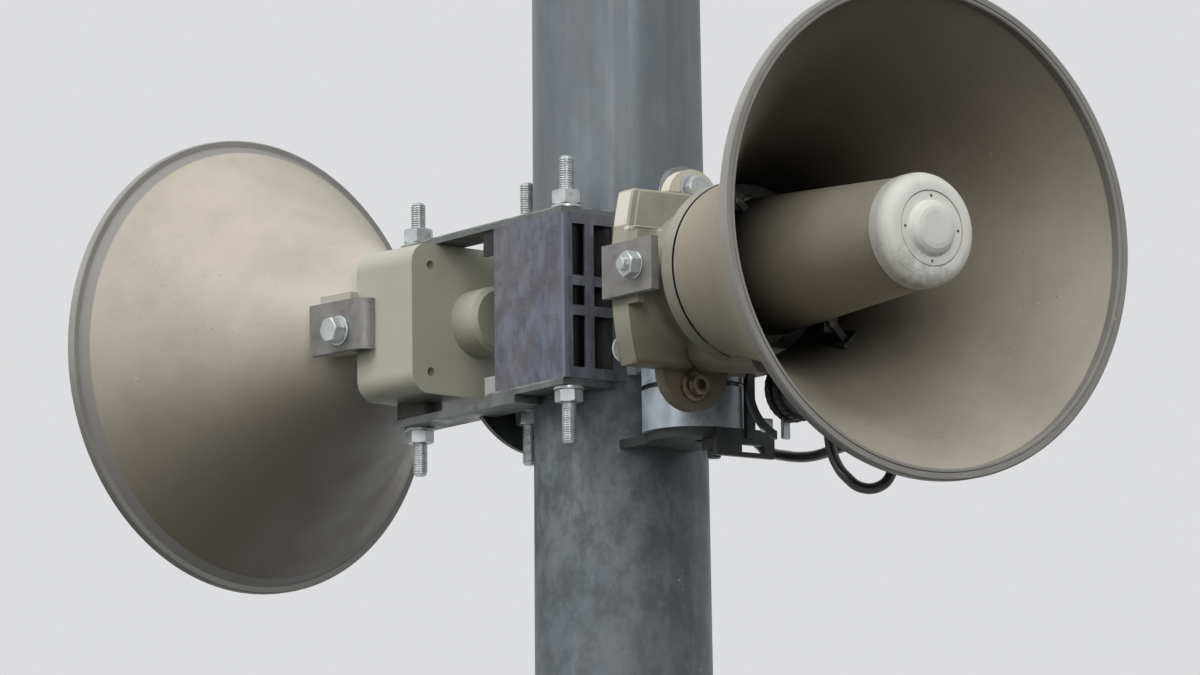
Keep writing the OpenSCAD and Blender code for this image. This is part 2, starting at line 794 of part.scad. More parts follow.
module left_housing() {
    centre_z = axis_z + pan_up;
    hole_y = 40;
    hole_z = 35.7;
    color(beige) pan_turn() difference() {
        union() {
            translate([pan_front_x, -axis_front, centre_z]) rotate([90, 0, 90]) linear_extrude(pan_depth)
                rounded_rect(2 * pan_half_w, 2 * pan_half_h, pan_corner_r);
            translate([pan_x, pan_y, plate_low + 0.3]) cylinder(h = centre_z - plate_low, r = boss_r);
            difference() {
                ear_blocks();
                translate([pan_front_x, -axis_front, centre_z]) rotate([0, -90, 0])
                    cylinder(h = 40, r1 = pan_throat_r + 2, r2 = pan_throat_r + 9.6);
            }
        }
        translate([pan_x, pan_y, axis_z - 100]) cylinder(h = 200, r = rod_r + run_gap);
        for (y = [-hole_y, hole_y]) for (z = [-hole_z, hole_z])
            translate([pan_front_x + pan_depth - 8, -axis_front + y, centre_z + z]) rotate([0, 90, 0])
                cylinder(h = 10, d = 6);
    }
}

module left_rear_cover() {
    x0 = pan_front_x + pan_depth;
    color(beige) pan_turn() translate([x0, -axis_front, axis_z + pan_up]) rotate([0, 90, 0]) rotate_extrude()
        polygon([[0, 0], [cover_r, 0], [cover_r, cover_l - 3], [cover_r - 3, cover_l], [0, cover_l]]);
}

// The gland's plate hangs beside the casting, with an open ring round the gland
module gland_flange() {
    ring_r = 33.5;
    ring_w = 5;
    plate_z = 13;
    color(zinc) translate([neck_x, gland_y, gland_z]) rotate([90, 0, 90]) linear_extrude(gland_plate_t) {
        translate([-30, plate_z]) square([48, 16]);
        translate([-8, 0]) square([18, plate_z + 1]);
        intersection() {
            difference() {
                circle(ring_r);
                circle(ring_r - ring_w);
            }
            translate([-ring_r - cut, -ring_r]) square([ring_r - 9.4, ring_r + plate_z + 2]);
        }
    }
}

module cable_gland() {
    color(black) translate([neck_x + gland_plate_t, gland_y, gland_z]) rotate([0, 90, 0])
    rotate_extrude() polygon([
        [0, 0], [20, 0], [20, 5], [18, 5], [18, 8], [20, 8], [20, 13], [18, 13], [18, 16],
        [16, 21], [8, gland_l], [0, gland_l]
    ]);
}

gland_plate_t = 3;
gland_l = 26;
gland_y = 20.4;
gland_z = axis_z - 65.8;
gland_mouth_x = neck_x + gland_plate_t + gland_l;

// Where the cable enters the mast
grommet_a = 46;
grommet_z = axis_z - 80;
grommet_end = mast_r(grommet_z) + 12;

// A point of the grommet's axis, out from its end
function grommet_out(out) =
    [(grommet_end + out) * cos(grommet_a), (grommet_end + out) * sin(grommet_a), grommet_z];

// The cable's route: straight out of the gland, down in a loop under the bell, and back into the mast
cable_route = [
    [gland_mouth_x, gland_y, gland_z], [gland_mouth_x + 3, gland_y, gland_z],
    [gland_mouth_x + 6, gland_y, gland_z],
    [193.9, 20.2, axis_z - 66.4], [198.8, 19.4, axis_z - 68.8], [202.7, 17.9, axis_z - 73.1],
    [205.8, 16, axis_z - 78.9], [209.3, 13.2, axis_z - 87.9], [213.4, 10, axis_z - 99.8],
    [219, 7.6, axis_z - 112.1], [227.3, 6.1, axis_z - 123.4], [235.2, 6.7, axis_z - 131.2],
    [243.5, 12.8, axis_z - 138.8], [249.9, 22.9, axis_z - 137.6], [250.7, 31, axis_z - 128.7],
    [245, 36.7, axis_z - 119.3], [234.2, 40.7, axis_z - 111.8], [219.9, 43.4, axis_z - 106.4],
    [200.9, 45.2, axis_z - 103.1], [182.7, 46.4, axis_z - 102.4], [163.8, 47.7, axis_z - 103.3],
    [145, 49.3, axis_z - 103.9], [126.6, 50.7, axis_z - 102.4], [107.1, 53.1, axis_z - 98.9],
    [91.3, 55.8, axis_z - 95.4], [77.8, 58.8, axis_z - 91.1], [69.6, 60.9, axis_z - 86.7],
    [63.6, 61.1, axis_z - 83.1], [58.8, 59.4, axis_z - 81],
    grommet_out(6), grommet_out(3), grommet_out(0)
];

function smooth_point(p, i, t) =
    let (
        a = p[max(0, i - 1)], b = p[i], c = p[i + 1], d = p[min(len(p) - 1, i + 2)],
        m0 = (c - a) / 2, m1 = (d - b) / 2
    )
    (2 * t * t * t - 3 * t * t + 1) * b + (t * t * t - 2 * t * t + t) * m0
    + (3 * t * t - 2 * t * t * t) * c + (t * t * t - t * t) * m1;

cable_path = concat(
    [for (i = [0 : len(cable_route) - 2]) for (t = [0, 0.5]) smooth_point(cable_route, i, t)],
    [cable_route[len(cable_route) - 1]]
);

function unit(v) = v / norm(v);
function tangent(p, i) = unit(p[min(len(p) - 1, i + 1)] - p[max(0, i - 1)]);

module swept_tube(path, r, sides) {
    rings = len(path);
    points = [
        for (i = [0 : rings - 1])
            let (t = tangent(path, i), u = unit(cross([0, 1, 0.01], t)), v = cross(t, u))
            for (k = [0 : sides - 1]) path[i] + r * (cos(360 * k / sides) * u + sin(360 * k / sides) * v)
    ];
    walls = [
        for (i = [0 : rings - 2]) for (k = [0 : sides - 1])
            let (a = i * sides + k, b = i * sides + (k + 1) % sides) [a, b, b + sides, a + sides]
    ];
    first = [for (k = [sides - 1 : -1 : 0]) k];
    last = [for (k = [0 : sides - 1]) (rings - 1) * sides + k];
    polyhedron(points = points, faces = concat([first], walls, [last]), convexity = 6);
}

module speaker_cable() {
    color(black) swept_tube(cable_path, cable_d / 2, 10);
}

base_flange();
base_gussets();
pole_shaft();
pole_cap();
pole_grommet();
strap_upper();
strap_lower();
saddle_block();
top_strip();
bottom_plate();
bottom_strip();
rear_cheek();
front_rod();
rear_rod();
pan_rod();
standoff_saddle();
support_tube();
bracket_foot();
mount_plate();
right_housing();
right_neck();
right_throat_tube();
right_bell();
right_rim();
right_reflector();
right_spider();
right_nose_cap();
right_nose_plug();
right_cleats();
gland_flange();
cable_gland();
speaker_cable();
left_housing();
left_rear_cover();
left_neck();
left_throat_tube();
left_bell();
left_rim();
left_reflector();
left_spider();
left_nose_cap();
left_nose_plug();
left_cleats();
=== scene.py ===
"""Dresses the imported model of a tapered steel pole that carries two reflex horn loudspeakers."""

import math

import bmesh
import bpy
from mathutils import Matrix, Vector


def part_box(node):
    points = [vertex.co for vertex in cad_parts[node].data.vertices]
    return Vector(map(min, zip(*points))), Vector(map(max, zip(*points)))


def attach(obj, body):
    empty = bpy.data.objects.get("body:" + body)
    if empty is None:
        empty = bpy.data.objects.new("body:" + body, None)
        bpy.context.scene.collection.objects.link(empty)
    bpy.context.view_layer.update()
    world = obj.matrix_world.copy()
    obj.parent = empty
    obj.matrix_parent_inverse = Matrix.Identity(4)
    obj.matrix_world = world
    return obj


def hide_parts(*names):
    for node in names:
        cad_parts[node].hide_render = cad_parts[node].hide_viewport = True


bl_info = {
    "name": "Pole with Horn Loudspeakers",
    "version": (1, 0, 0),
    "blender": (4, 5, 0),
    "location": "View3D > Sidebar > Horn Pole",
    "description": "Finishes, fasteners, threads and cable of a pole with two reflex horn loudspeakers",
    "category": "Object",
}

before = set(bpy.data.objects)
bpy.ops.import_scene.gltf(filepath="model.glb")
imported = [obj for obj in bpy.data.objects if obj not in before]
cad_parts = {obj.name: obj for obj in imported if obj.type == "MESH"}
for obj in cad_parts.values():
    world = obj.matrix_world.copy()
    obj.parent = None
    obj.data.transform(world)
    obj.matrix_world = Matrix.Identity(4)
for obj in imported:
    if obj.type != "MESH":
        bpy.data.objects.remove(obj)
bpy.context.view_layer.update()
POLE = "mast"
PANNED = "panned_horn"
MM = 0.001
# The fixed horn's axis, the pan rod and the panned horn's axis, in millimetres
AXIS_Y, AXIS_Z = -46.0, 3100.0
PAN_X, PAN_Y = -140.0, -64.0
LEFT_Y, LEFT_Z = -46.0, 3108.0
# From the pan rod to the panned horn's mouth, and how far the nose plugs stand out of the mouths
LEFT_REACH, PLUG_PROUD = 204.0, 1.1
# Underside of the foot's plate, and the upper edges of the top strip and of the bottom plate
FOOT_UNDER = 3006.5
STRIP_EDGES = (3162.6, 3050.2)
# The turn of the panned horn at rest
PAN_ANGLE = math.radians(6)
PAN_TURN = (
    Matrix.Translation(Vector((PAN_X, PAN_Y, 0)) * MM)
    @ Matrix.Rotation(PAN_ANGLE, 4, "Z")
    @ Matrix.Translation(Vector((-PAN_X, -PAN_Y, 0)) * MM)
)
# Direction of the painted dark reflection on the pole, the side that faces the camera: from its front round
# to the fixed horn's side
DARK_REFLECTION_TURN = math.radians(54.7)


def srgb(red, green, blue):
    """A colour in 0 to 255 steps, as the linear values that shaders take."""
    return tuple(
        c / 12.92 if c <= 0.04045 else ((c + 0.055) / 1.055) ** 2.4
        for c in (red / 255, green / 255, blue / 255)
    )


def colour_property(name, description, default):
    return bpy.props.FloatVectorProperty(
        name=name, description=description, subtype="COLOR", size=3, min=0.0, max=1.0,
        default=default,
    )


def length_property(name, description, millimetres):
    return bpy.props.FloatProperty(
        name=name, description=description, unit="LENGTH", min=0.0, precision=5,
        default=millimetres * MM,
    )


def angle_property(name, description, degrees):
    return bpy.props.FloatProperty(
        name=name, description=description, subtype="ANGLE", default=math.radians(degrees)
    )


def power_property(name, description, watts):
    return bpy.props.FloatProperty(
        name=name, description=description, unit="POWER", min=0.0, default=watts
    )


class HORNPOLE_PG_paints(bpy.types.PropertyGroup):
    """Colours of the finishes."""

    galvanised: colour_property("Galvanised", "Weathered zinc of the pole", srgb(120, 125, 129))
    zinc: colour_property("Zinc", "Plated straps and mounting plate", srgb(140, 143, 145))
    strip: colour_property("Strips", "Weathered strips above and under the block", srgb(108, 112, 110))
    cleat: colour_property("Cleats", "Weathered side cleats", srgb(132, 130, 127))
    tube: colour_property("Tube", "Bluish zinc of the support tube", srgb(166, 174, 180))
    grimy: colour_property("Grimy steel", "Foot, cheek and gland plate", srgb(44, 48, 46))
    bright: colour_property("Bright zinc", "Nuts, bolts and studs", srgb(192, 196, 196))
    casting: colour_property("Casting", "The block against the pole", srgb(92, 95, 106))
    housing: colour_property("Housing paint", "Paint of the housings", srgb(158, 155, 140))
    bell: colour_property("Bell paint", "Paint of the bells", srgb(182, 174, 160))
    nose: colour_property("Nose paint", "Paint of the nose caps", srgb(238, 236, 229))
    rim: colour_property("Rim paint", "Paint of the rolled rims", srgb(150, 147, 142))
    mould: colour_property("Black plastic", "Gland, grommet and legs", srgb(30, 30, 30))


class HORNPOLE_PG_sizes(bpy.types.PropertyGroup):
    """Sizes of the small pieces."""

    thread_pitch: length_property("Thread pitch", "Distance between the ridges of a thread", 1.5)
    thread_ridge: length_property("Thread ridge", "Radius of one ridge", 0.55)
    rod_radius: length_property("Rod radius", "Radius of the threaded rods", 5.0)
    nut_flats: length_property("Nut width", "Width across flats of the nuts", 16.0)
    nut_height: length_property("Nut height", "Height of the nuts on the rods", 8.4)
    washer: length_property("Washer thickness", "Thickness of the washers on the rods", 2.0)
    bead: length_property("Weld bead", "Radius of the weld beads at the foot", 4.0)
    cable: length_property("Cable diameter", "Outside diameter of the loudspeaker cable", 7.0)


class HORNPOLE_PG_studio(bpy.types.PropertyGroup):
    """Where the camera stands, and how strong the lamps are."""

    azimuth: angle_property("Azimuth", "Direction of the camera", 54.7)
    elevation: angle_property("Elevation", "Height angle of the camera", -8.8)
    roll: angle_property("Roll", "Lean of the camera", -0.67)
    distance: bpy.props.FloatProperty(
        name="Distance", description="From the camera to the horns", unit="LENGTH", default=5.5
    )
    lens: bpy.props.FloatProperty(
        name="Lens", description="Focal length in millimetres", unit="CAMERA", default=251.52
    )
    key: power_property("Key lamp", "Power of the lamp overhead", 250.0)
    fill: power_property("Fill lamp", "Power of the lamp at the camera's side", 120.0)


# Node trees


class Tree:
    """Adds nodes to a tree and links them, with short calls."""

    def __init__(self, tree):
        self.nodes, self.links = tree.nodes, tree.links

    def feed(self, socket, value):
        if isinstance(value, bpy.types.NodeSocket):
            self.links.new(value, socket)
        elif value is not None:
            if socket.type == "RGBA" and len(value) == 3:
                value = (*value, 1.0)
            socket.default_value = value

    def add(self, kind, inputs=(), **settings):
        node = self.nodes.new(kind)
        for name, value in settings.items():
            setattr(node, name, value)
        for socket, value in dict(inputs).items():
            self.feed(node.inputs[socket], value)
        return node


class Finish(Tree):
    """A procedural material: one Principled shader, and a colour that is laid on coat by coat."""

    def __init__(self, name, colour, roughness=0.5, metallic=0.0, specular=0.5):
        self.material = bpy.data.materials.new(name)
        self.material.use_nodes = True
        super().__init__(self.material.node_tree)
        self.shader = self.nodes["Principled BSDF"]
        self.shader.inputs["Roughness"].default_value = roughness
        self.shader.inputs["Metallic"].default_value = metallic
        self.shader.inputs["Specular IOR Level"].default_value = specular
        given = self.add("ShaderNodeTexCoord").outputs
        self.object, self.normal = given["Object"], given["Normal"]
        self.colour = colour

    def place(self, upright=1.0, shift=(0, 0, 0), turn=(0, 0, 0)):
        """Object coordinates, moved and turned; a low value of upright draws a pattern out along Z."""
        moved = self.add(
            "ShaderNodeMapping", {"Vector": self.object, "Location": shift, "Rotation": turn}
        ).outputs[0]
        return self.add("ShaderNodeMapping", {"Vector": moved, "Scale": (1, 1, upright)}).outputs[0]

    def part(self, vector, axis):
        """One coordinate of a vector."""
        return self.add("ShaderNodeSeparateXYZ", {"Vector": vector}).outputs["XYZ".index(axis)]

    def math(self, operation, a, b=0.0):
        return self.add("ShaderNodeMath", {0: a, 1: b}, operation=operation).outputs[0]

    def ramp(self, value, low, high):
        """0 below low, 1 above high; low may be the larger of the two."""
        return self.add(
            "ShaderNodeMapRange",
            {"Value": value, "From Min": low, "From Max": high},
            interpolation_type="SMOOTHSTEP",
        ).outputs[0]

    def noise(
        self, scale, low=0.35, high=0.65, upright=1.0, detail=4.0, rough=0.55, shift=(0, 0, 0)
    ):
        """Cloudy pattern from 0 to 1; scale is features per metre."""
        made = self.add(
            "ShaderNodeTexNoise",
            {"Vector": self.place(upright, shift), "Scale": scale, "Detail": detail, "Roughness": rough},
        )
        return self.ramp(made.outputs["Fac"], low, high)

    def cells(self, scale, output, upright=1.0, shift=(0, 0, 0)):
        """The random colours of cells, or the distance from their middles."""
        inputs = {"Vector": self.place(upright, shift), "Scale": scale}
        return self.add("ShaderNodeTexVoronoi", inputs).outputs[output]

    def along(self, axis, low, high):
        """0 to 1 as the object coordinate goes from low to high, in metres."""
        return self.ramp(self.part(self.object, axis), low, high)

    def within(self, low, high, soft=1.0):
        """1 inside a box given in millimetres, 0 outside; None leaves a side open."""
        parts = self.add("ShaderNodeSeparateXYZ", {"Vector": self.object}).outputs
        factors = []
        for part, least, most in zip(parts, low, high):
            if least is not None:
                factors.append(self.ramp(part, (least - soft) * MM, (least + soft) * MM))
            if most is not None:
                factors.append(self.ramp(part, (most + soft) * MM, (most - soft) * MM))
        return self.both(*factors)

    def between(self, low, high, soft=1.0):
        """1 between two heights given in millimetres."""
        return self.within((None, None, low), (None, None, high), soft)

    def inward(self):
        """1 on the walls of both horns that face their mouths."""
        facing_out = self.math("MULTIPLY", self.part(self.object, "X"), self.part(self.normal, "X"))
        return self.ramp(facing_out, 0.0, 0.02)

    def outwards(self):
        """Distance from the pole's middle along X, in metres."""
        return self.math("ABSOLUTE", self.part(self.object, "X"))

    def both(self, *factors):
        result = factors[0]
        for factor in factors[1:]:
            result = self.math("MULTIPLY", result, factor)
        return result

    def lay(self, colour, *factors):
        """Lays a colour over what is there, as strongly as the product of the factors."""
        self.colour = self.add(
            "ShaderNodeMix",
            {0: self.both(*factors), 6: self.colour, 7: colour},
            data_type="RGBA", blend_type="MIX", clamp_factor=True,
        ).outputs[2]

    def show(self):
        """Feeds the colour to the shader."""
        self.feed(self.shader.inputs["Base Color"], self.colour)
        return self.material

    def close(self, smooth, rough, pattern, height, strength, distance=0.0002):
        """Feeds the shader: the colour, a roughness from smooth to rough by a pattern, and a bump."""
        made = self.add("ShaderNodeMapRange", {"Value": pattern, "To Min": smooth, "To Max": rough})
        bump = self.add("ShaderNodeBump", {"Height": height, "Strength": strength, "Distance": distance})
        self.feed(self.shader.inputs["Roughness"], made.outputs[0])
        self.feed(self.shader.inputs["Normal"], bump.outputs[0])
        return self.show()


def tint(colour, factor):
    return tuple(min(1.0, c * factor) for c in colour)


def galvanised_finish(base):
    """Weathered galvanised steel: clouds, faint crystals, runs down the pole, pale specks, painted shade
    under the bracket and a painted dark reflection.
    """
    f = Finish("galvanised_steel", tint(base, 0.78), metallic=0.2)
    blotch = f.noise(9, 0.3, 0.7, 0.45, 5, 0.6)
    patch = f.noise(24, 0.42, 0.62, 0.6, 6, 0.65, (3, 1, 2))
    runs = f.noise(85, 0.45, 0.72, 0.06, 3, 0.6)
    mottle = f.noise(60, 0.35, 0.65, 0.7, 7, 0.7, (5, 5, 2))
    shade = f.add("ShaderNodeSeparateColor", {"Color": f.cells(75, "Color", 0.8)}).outputs[0]
    crystals = f.ramp(shade, 0.3, 0.06)
    specks = f.ramp(f.cells(120, "Distance", shift=(1, 2, 3)), 0.14, 0.05)
    speckled = f.noise(14, 0.56, 0.62, shift=(7, 2, 5))
    grime_and_shade = f.noise(30, 0.5, 0.8, 0.2, 6, 0.7, (2, 8, 1))
    f.lay(tint(base, 1.14), blotch)
    f.lay(srgb(98, 108, 116), patch, 0.45)
    f.lay(tint(base, 1.4), runs, 0.3)
    f.lay(tint(base, 0.66), mottle, 0.3)
    f.lay(tint(base, 1.3), crystals, 0.1)
    f.lay(srgb(205, 210, 214), specks, speckled, 0.75)
    f.lay(srgb(58, 60, 60), grime_and_shade, 0.35)
    # Painted shade: the stretch of pole under the bracket is darker, where the bracket's shade falls
    bracket_shade = f.both(f.along("Z", 3.066, 3.046), f.along("Z", 2.6, 3.0))
    f.lay(srgb(60, 63, 63), bracket_shade, f.ramp(mottle, 1.3, -0.2), 0.75)
    # A painted dark reflection down the side that faces between the front and the fixed horn, toward the
    # camera
    across = f.add("ShaderNodeSeparateXYZ", {"Vector": f.place(turn=(0, 0, -DARK_REFLECTION_TURN))}).outputs
    left_side = f.ramp(across[0], -0.004, 0.0)
    right_side = f.ramp(across[0], 0.010, 0.006)
    near_side = f.ramp(across[1], 0.0, -0.02)
    run = f.both(left_side, right_side, near_side)
    # Painted dark reflection, high on the pole
    f.lay(srgb(56, 60, 62), run, f.along("Z", 3.15, 3.19), 0.35)
    return f.close(0.42, 0.7, blotch, f.math("ADD", mottle, f.noise(300, 0.3, 0.7)), 0.1, 0.0003)


def zinc_finish(name, base, metallic=0.6, marks=None):
    """Dull plated steel with stains."""
    f = Finish(name, tint(base, 0.78), metallic=metallic)
    cloud = f.noise(45, 0.3, 0.7, detail=6)
    stain_and_shade = f.noise(110, 0.52, 0.72, detail=5, shift=(4, 4, 1))
    f.lay(tint(base, 1.12), cloud)
    f.lay(tint(srgb(92, 88, 80), max(base) * 3), stain_and_shade, 0.4)
    if marks:
        marks(f)
    return f.close(0.32, 0.62, cloud, f.noise(420, 0.3, 0.7), 0.12)


def strip_marks(f):
    """Painted shade on the hanging tabs and the undersides, pale standing tabs, and pale edges, on the strips
    above and under the block.
    """
    underside_shade = f.ramp(f.part(f.normal, "Z"), -0.3, -0.7)
    hanging_tab_shade = f.between(3130, 3158)
    standing_tabs = f.between(3050.8, 3063)
    # Painted shade under the strips and on the tabs that hang from the top strip
    f.lay(srgb(40, 42, 40), underside_shade, 0.8)
    f.lay(srgb(22, 22, 22), hanging_tab_shade, 0.9)
    f.lay(srgb(190, 186, 180), standing_tabs, 0.7)
    for level in STRIP_EDGES:
        edge = f.both(f.between(level - 0.5, level + 0.6, 0.25), f.noise(90, 0.4, 0.6))
        f.lay(srgb(176, 176, 172), edge, 0.6)


def tube_marks(f):
    """A painted highlight down the tube's side and painted shade under its groove."""
    painted_highlight = f.within((112, None, None), (118, -30, None), 2.5)
    groove_shade = f.between(3039.5, 3042.8, 0.3)
    # Painted highlight, then painted shade under the groove
    f.lay(srgb(222, 228, 232), painted_highlight, 0.5)
    f.lay(srgb(40, 44, 46), groove_shade)


def bright_finish(base):
    """Bright zinc of nuts and studs."""
    f = Finish("bright_zinc", tint(base, 0.86), metallic=0.55)
    cloud = f.noise(90, 0.3, 0.7, detail=3)
    stain_and_shade = f.noise(150, 0.6, 0.78, shift=(2, 5, 9))
    f.lay(tint(base, 1.05), cloud)
    f.lay(srgb(120, 112, 96), stain_and_shade, 0.35)
    return f.close(0.3, 0.45, cloud, f.noise(400, 0.3, 0.7), 0.04)


def casting_finish(base):
    """Dark weathered casting with bluish and purple tints, a pale edge and near-black painted shade in the
    pockets.
    """
    f = Finish("weathered_casting", tint(base, 0.8), metallic=0.3)
    cloud = f.noise(28, 0.32, 0.68, 0.6, 6, 0.6)
    fine = f.noise(120, 0.4, 0.66, 0.5, 5, 0.65, (5, 1, 2))
    brown = f.noise(60, 0.5, 0.75, shift=(9, 3, 3))
    edge = f.within((45.2, None, None), (None, -75.2, None), 0.6)
    pocket_shade = f.within((4, -77.2, 3052), (47, None, 3157), 0.7)
    f.lay(srgb(106, 103, 105), cloud)
    f.lay(srgb(132, 138, 152), fine, 0.45)
    f.lay(srgb(70, 66, 66), brown, 0.5)
    f.lay(srgb(118, 122, 134), edge, 0.7)
    # Painted shade in the pockets of the ribbed face
    f.lay(srgb(6, 6, 8), pocket_shade)
    return f.close(0.45, 0.7, fine, f.noise(500, 0.3, 0.7), 0.25, 0.0003)


def painted(name, base, dirt, marks=None, grime_and_shade=0.45):
    """Old satin paint: dust, runs, chips that show a paler coat, and painted shade on what faces down."""
    f = Finish(name, tint(base, 0.88), specular=0.4)
    cloud = f.noise(14, 0.3, 0.7, detail=5)
    runs = f.noise(70, 0.5, 0.75, 0.12, 4, 0.6, (1, 3, 2))
    dust = f.noise(38, 0.48, 0.8, detail=7, rough=0.7)
    chipped = f.noise(30, 0.52, 0.6, shift=(5, 5, 5))
    chips = f.both(f.noise(240, 0.64, 0.67, detail=6, rough=0.7), chipped)
    specks = f.ramp(f.cells(260, "Distance", shift=(1, 7, 3)), 0.16, 0.06)
    speckled = f.noise(60, 0.6, 0.66, shift=(3, 9, 1))
    underside_shade = f.ramp(f.part(f.normal, "Z"), 0.1, -0.8)
    f.lay(tint(base, 1.06), cloud)
    f.lay(tint(base, 0.62), runs, 0.35 * dirt)
    f.lay(srgb(98, 92, 80), dust, 0.4 * dirt)
    f.lay(srgb(214, 208, 190), chips, 0.7)
    f.lay(srgb(70, 60, 48), specks, speckled, 0.8)
    # Painted shade on what faces down; the last argument sets how strong it is
    f.lay(srgb(58, 52, 38), underside_shade, grime_and_shade)
    if marks:
        marks(f)
    pits = f.math("MULTIPLY", chips, -1.5)
    return f.close(0.38, 0.62, cloud, f.math("ADD", f.noise(350, 0.3, 0.7), pits), 0.15, 0.0003)


def nose_marks(f):
    """Wear low on the nose caps."""
    patches = f.noise(55, 0.5, 0.58, detail=6, rough=0.7, shift=(2, 2, 7))
    wear = f.both(patches, f.along("Z", 3.1, 3.075))
    f.lay(srgb(150, 145, 136), wear, 0.4)


# Places on the fixed housing made cream: painted highlights along edges that catch the light, and paint worn
# to a cream coat;
# the lowest and highest corner in millimetres, and how strongly it shows
CREAM_PLACES = (
    # Near side of the flange, above the cleat
    ((137, None, 3133), (152, -96, 3155), 0.8),
    # Painted highlight along the edge of the raised pad
    ((150, None, 3129.6), (176, -80, 3131.6), 0.75),
    # Painted highlight along the upper edge of the casting
    ((139, None, 3154.8), (196, None, 3157.4), 0.45),
    # Upper lug
    ((137, None, 3158.8), (150, None, None), 0.6),
)
# Darkened places on both housings, painted shade low on the casting and a painted shadow under the panned
# housing's foot among them: corners, softness of the border, colour and strength
DARKENED_PLACES = (
    # Lower lug
    ((137, None, None), (151, None, 3043), 1.5, srgb(116, 102, 86), 0.6),
    # Keel under the neck
    ((151, None, None), (226, None, 3046), 1.5, srgb(108, 92, 78), 0.7),
    # Lower part of the casting, painted shade
    ((128, None, None), (205, None, 3068), 14, srgb(84, 78, 60), 0.4),
    # Foot of the panned housing, on its strip: a painted shadow
    ((-200, None, None), (-90, None, 3057.5), 1.5, srgb(16, 15, 14), 0.94),
)


def housing_marks(f):
    """A lighter panned housing, cream places (painted highlights and wear), darkened places (partly painted
    shade), rust beside the pan rod and painted shade deep in the neck.
    """
    panned_side = f.along("X", 0.0, -0.05)
    f.lay(srgb(180, 178, 164), panned_side, 0.75)
    ragged = f.noise(160, 0.26, 0.42, detail=6)
    # Painted highlights and worn places, in cream
    for low, high, strength in CREAM_PLACES:
        f.lay(srgb(224, 218, 202), f.within(low, high, 0.6), ragged, strength)
    # Darkened places, painted shade and a painted shadow among them
    for low, high, soft, stain_and_shade, strength in DARKENED_PLACES:
        f.lay(stain_and_shade, f.within(low, high, soft), strength)
    beside_rod = f.within((-172, None, None), (-150, None, 3055), 3)
    f.lay(srgb(110, 62, 38), beside_rod, f.noise(150, 0.42, 0.6, shift=(4, 1, 1)), 0.8)
    # Painted shade deep inside the fixed horn's neck
    neck_end_shade = f.both(f.within((200.5, None, 3052), (None, None, None), 0.5), f.inward())
    f.lay(srgb(30, 27, 22), neck_end_shade)


def bell_marks(f):
    """Olive paint outside the fixed bell, a grey band behind both rims, and painted shade deep in the
    throats.
    """
    inside = f.inward()
    outside = f.math("SUBTRACT", 1.0, inside)
    fixed_side = f.along("X", 0.1, 0.12)
    f.lay(srgb(142, 134, 114), f.both(outside, fixed_side), 0.8)
    # The panned bell's band is found as if that horn weren't turned
    straightened = f.part(f.place(turn=(0, 0, -PAN_ANGLE)), "X")
    band = f.math("MAXIMUM", f.along("X", 0.3815, 0.3825), f.ramp(straightened, -0.3365, -0.3375))
    f.lay(srgb(138, 136, 134), outside, band, 0.9)
    # Painted shade inside both horns, darkest in the throats
    f.lay(srgb(60, 54, 44), inside, f.ramp(f.outwards(), 0.38, 0.28), 0.35)
    f.lay(srgb(16, 15, 13), inside, f.ramp(f.outwards(), 0.295, 0.22), 0.95)


def reflector_marks(f):
    """Painted shade, darker towards the throat."""
    f.lay(srgb(146, 140, 126), f.ramp(f.outwards(), 0.34, 0.27))
    f.lay(srgb(14, 13, 12), f.ramp(f.outwards(), 0.30, 0.235))


def cable_finish(base):
    """Smooth black sheath with a little dust."""
    f = Finish("cable_sheath", tint(base, 0.8), specular=0.45)
    dust = f.noise(90, 0.45, 0.8, detail=5)
    f.lay(srgb(72, 70, 66), dust, 0.4)
    return f.close(0.34, 0.55, dust, f.noise(700, 0.3, 0.7), 0.08)


def stained_finish():
    """Brown stained metal of an old stud."""
    f = Finish("stained_metal", srgb(74, 64, 54), metallic=0.4)
    cloud = f.noise(180, 0.35, 0.65, detail=6)
    spots = f.noise(320, 0.5, 0.7, shift=(3, 3, 1))
    f.lay(srgb(128, 116, 100), cloud)
    f.lay(srgb(40, 34, 30), spots, 0.6)
    return f.close(0.35, 0.65, cloud, f.noise(600, 0.3, 0.7), 0.15)


def mould_finish(base):
    """Black plastic, slightly chalky."""
    f = Finish("black_plastic", tuple(base), specular=0.4)
    dust = f.noise(60, 0.4, 0.75, detail=6)
    f.lay(srgb(66, 64, 60), dust, 0.6)
    return f.close(0.4, 0.65, dust, f.noise(500, 0.3, 0.7), 0.15)


FINISHES = {}


def make_finishes(paints):
    """Every finish of the object, by name."""
    FINISHES.clear()
    FINISHES.update(
        galvanised=galvanised_finish(paints.galvanised),
        zinc=zinc_finish("plated_steel", paints.zinc),
        strip=zinc_finish("weathered_strip", paints.strip, 0.3, strip_marks),
        cleat=zinc_finish("weathered_cleat", paints.cleat, 0.3),
        tube=zinc_finish("tube_zinc", paints.tube, 0.4, tube_marks),
        grimy=zinc_finish("grimy_steel", paints.grimy, 0.2),
        bright=bright_finish(paints.bright),
        casting=casting_finish(paints.casting),
        housing=painted("housing_paint", paints.housing, 0.9, housing_marks),
        bell=painted("bell_paint", paints.bell, 0.35, bell_marks, 0.8),
        reflector=painted("reflector_paint", tint(paints.bell, 1.2), 0.3, reflector_marks),
        rim=painted("rim_paint", paints.rim, 0.4),
        nose=painted("nose_paint", paints.nose, 0.1, nose_marks, 0.12),
        mould=mould_finish(paints.mould),
        cable=cable_finish(paints.mould),
        stained=stained_finish(),
    )


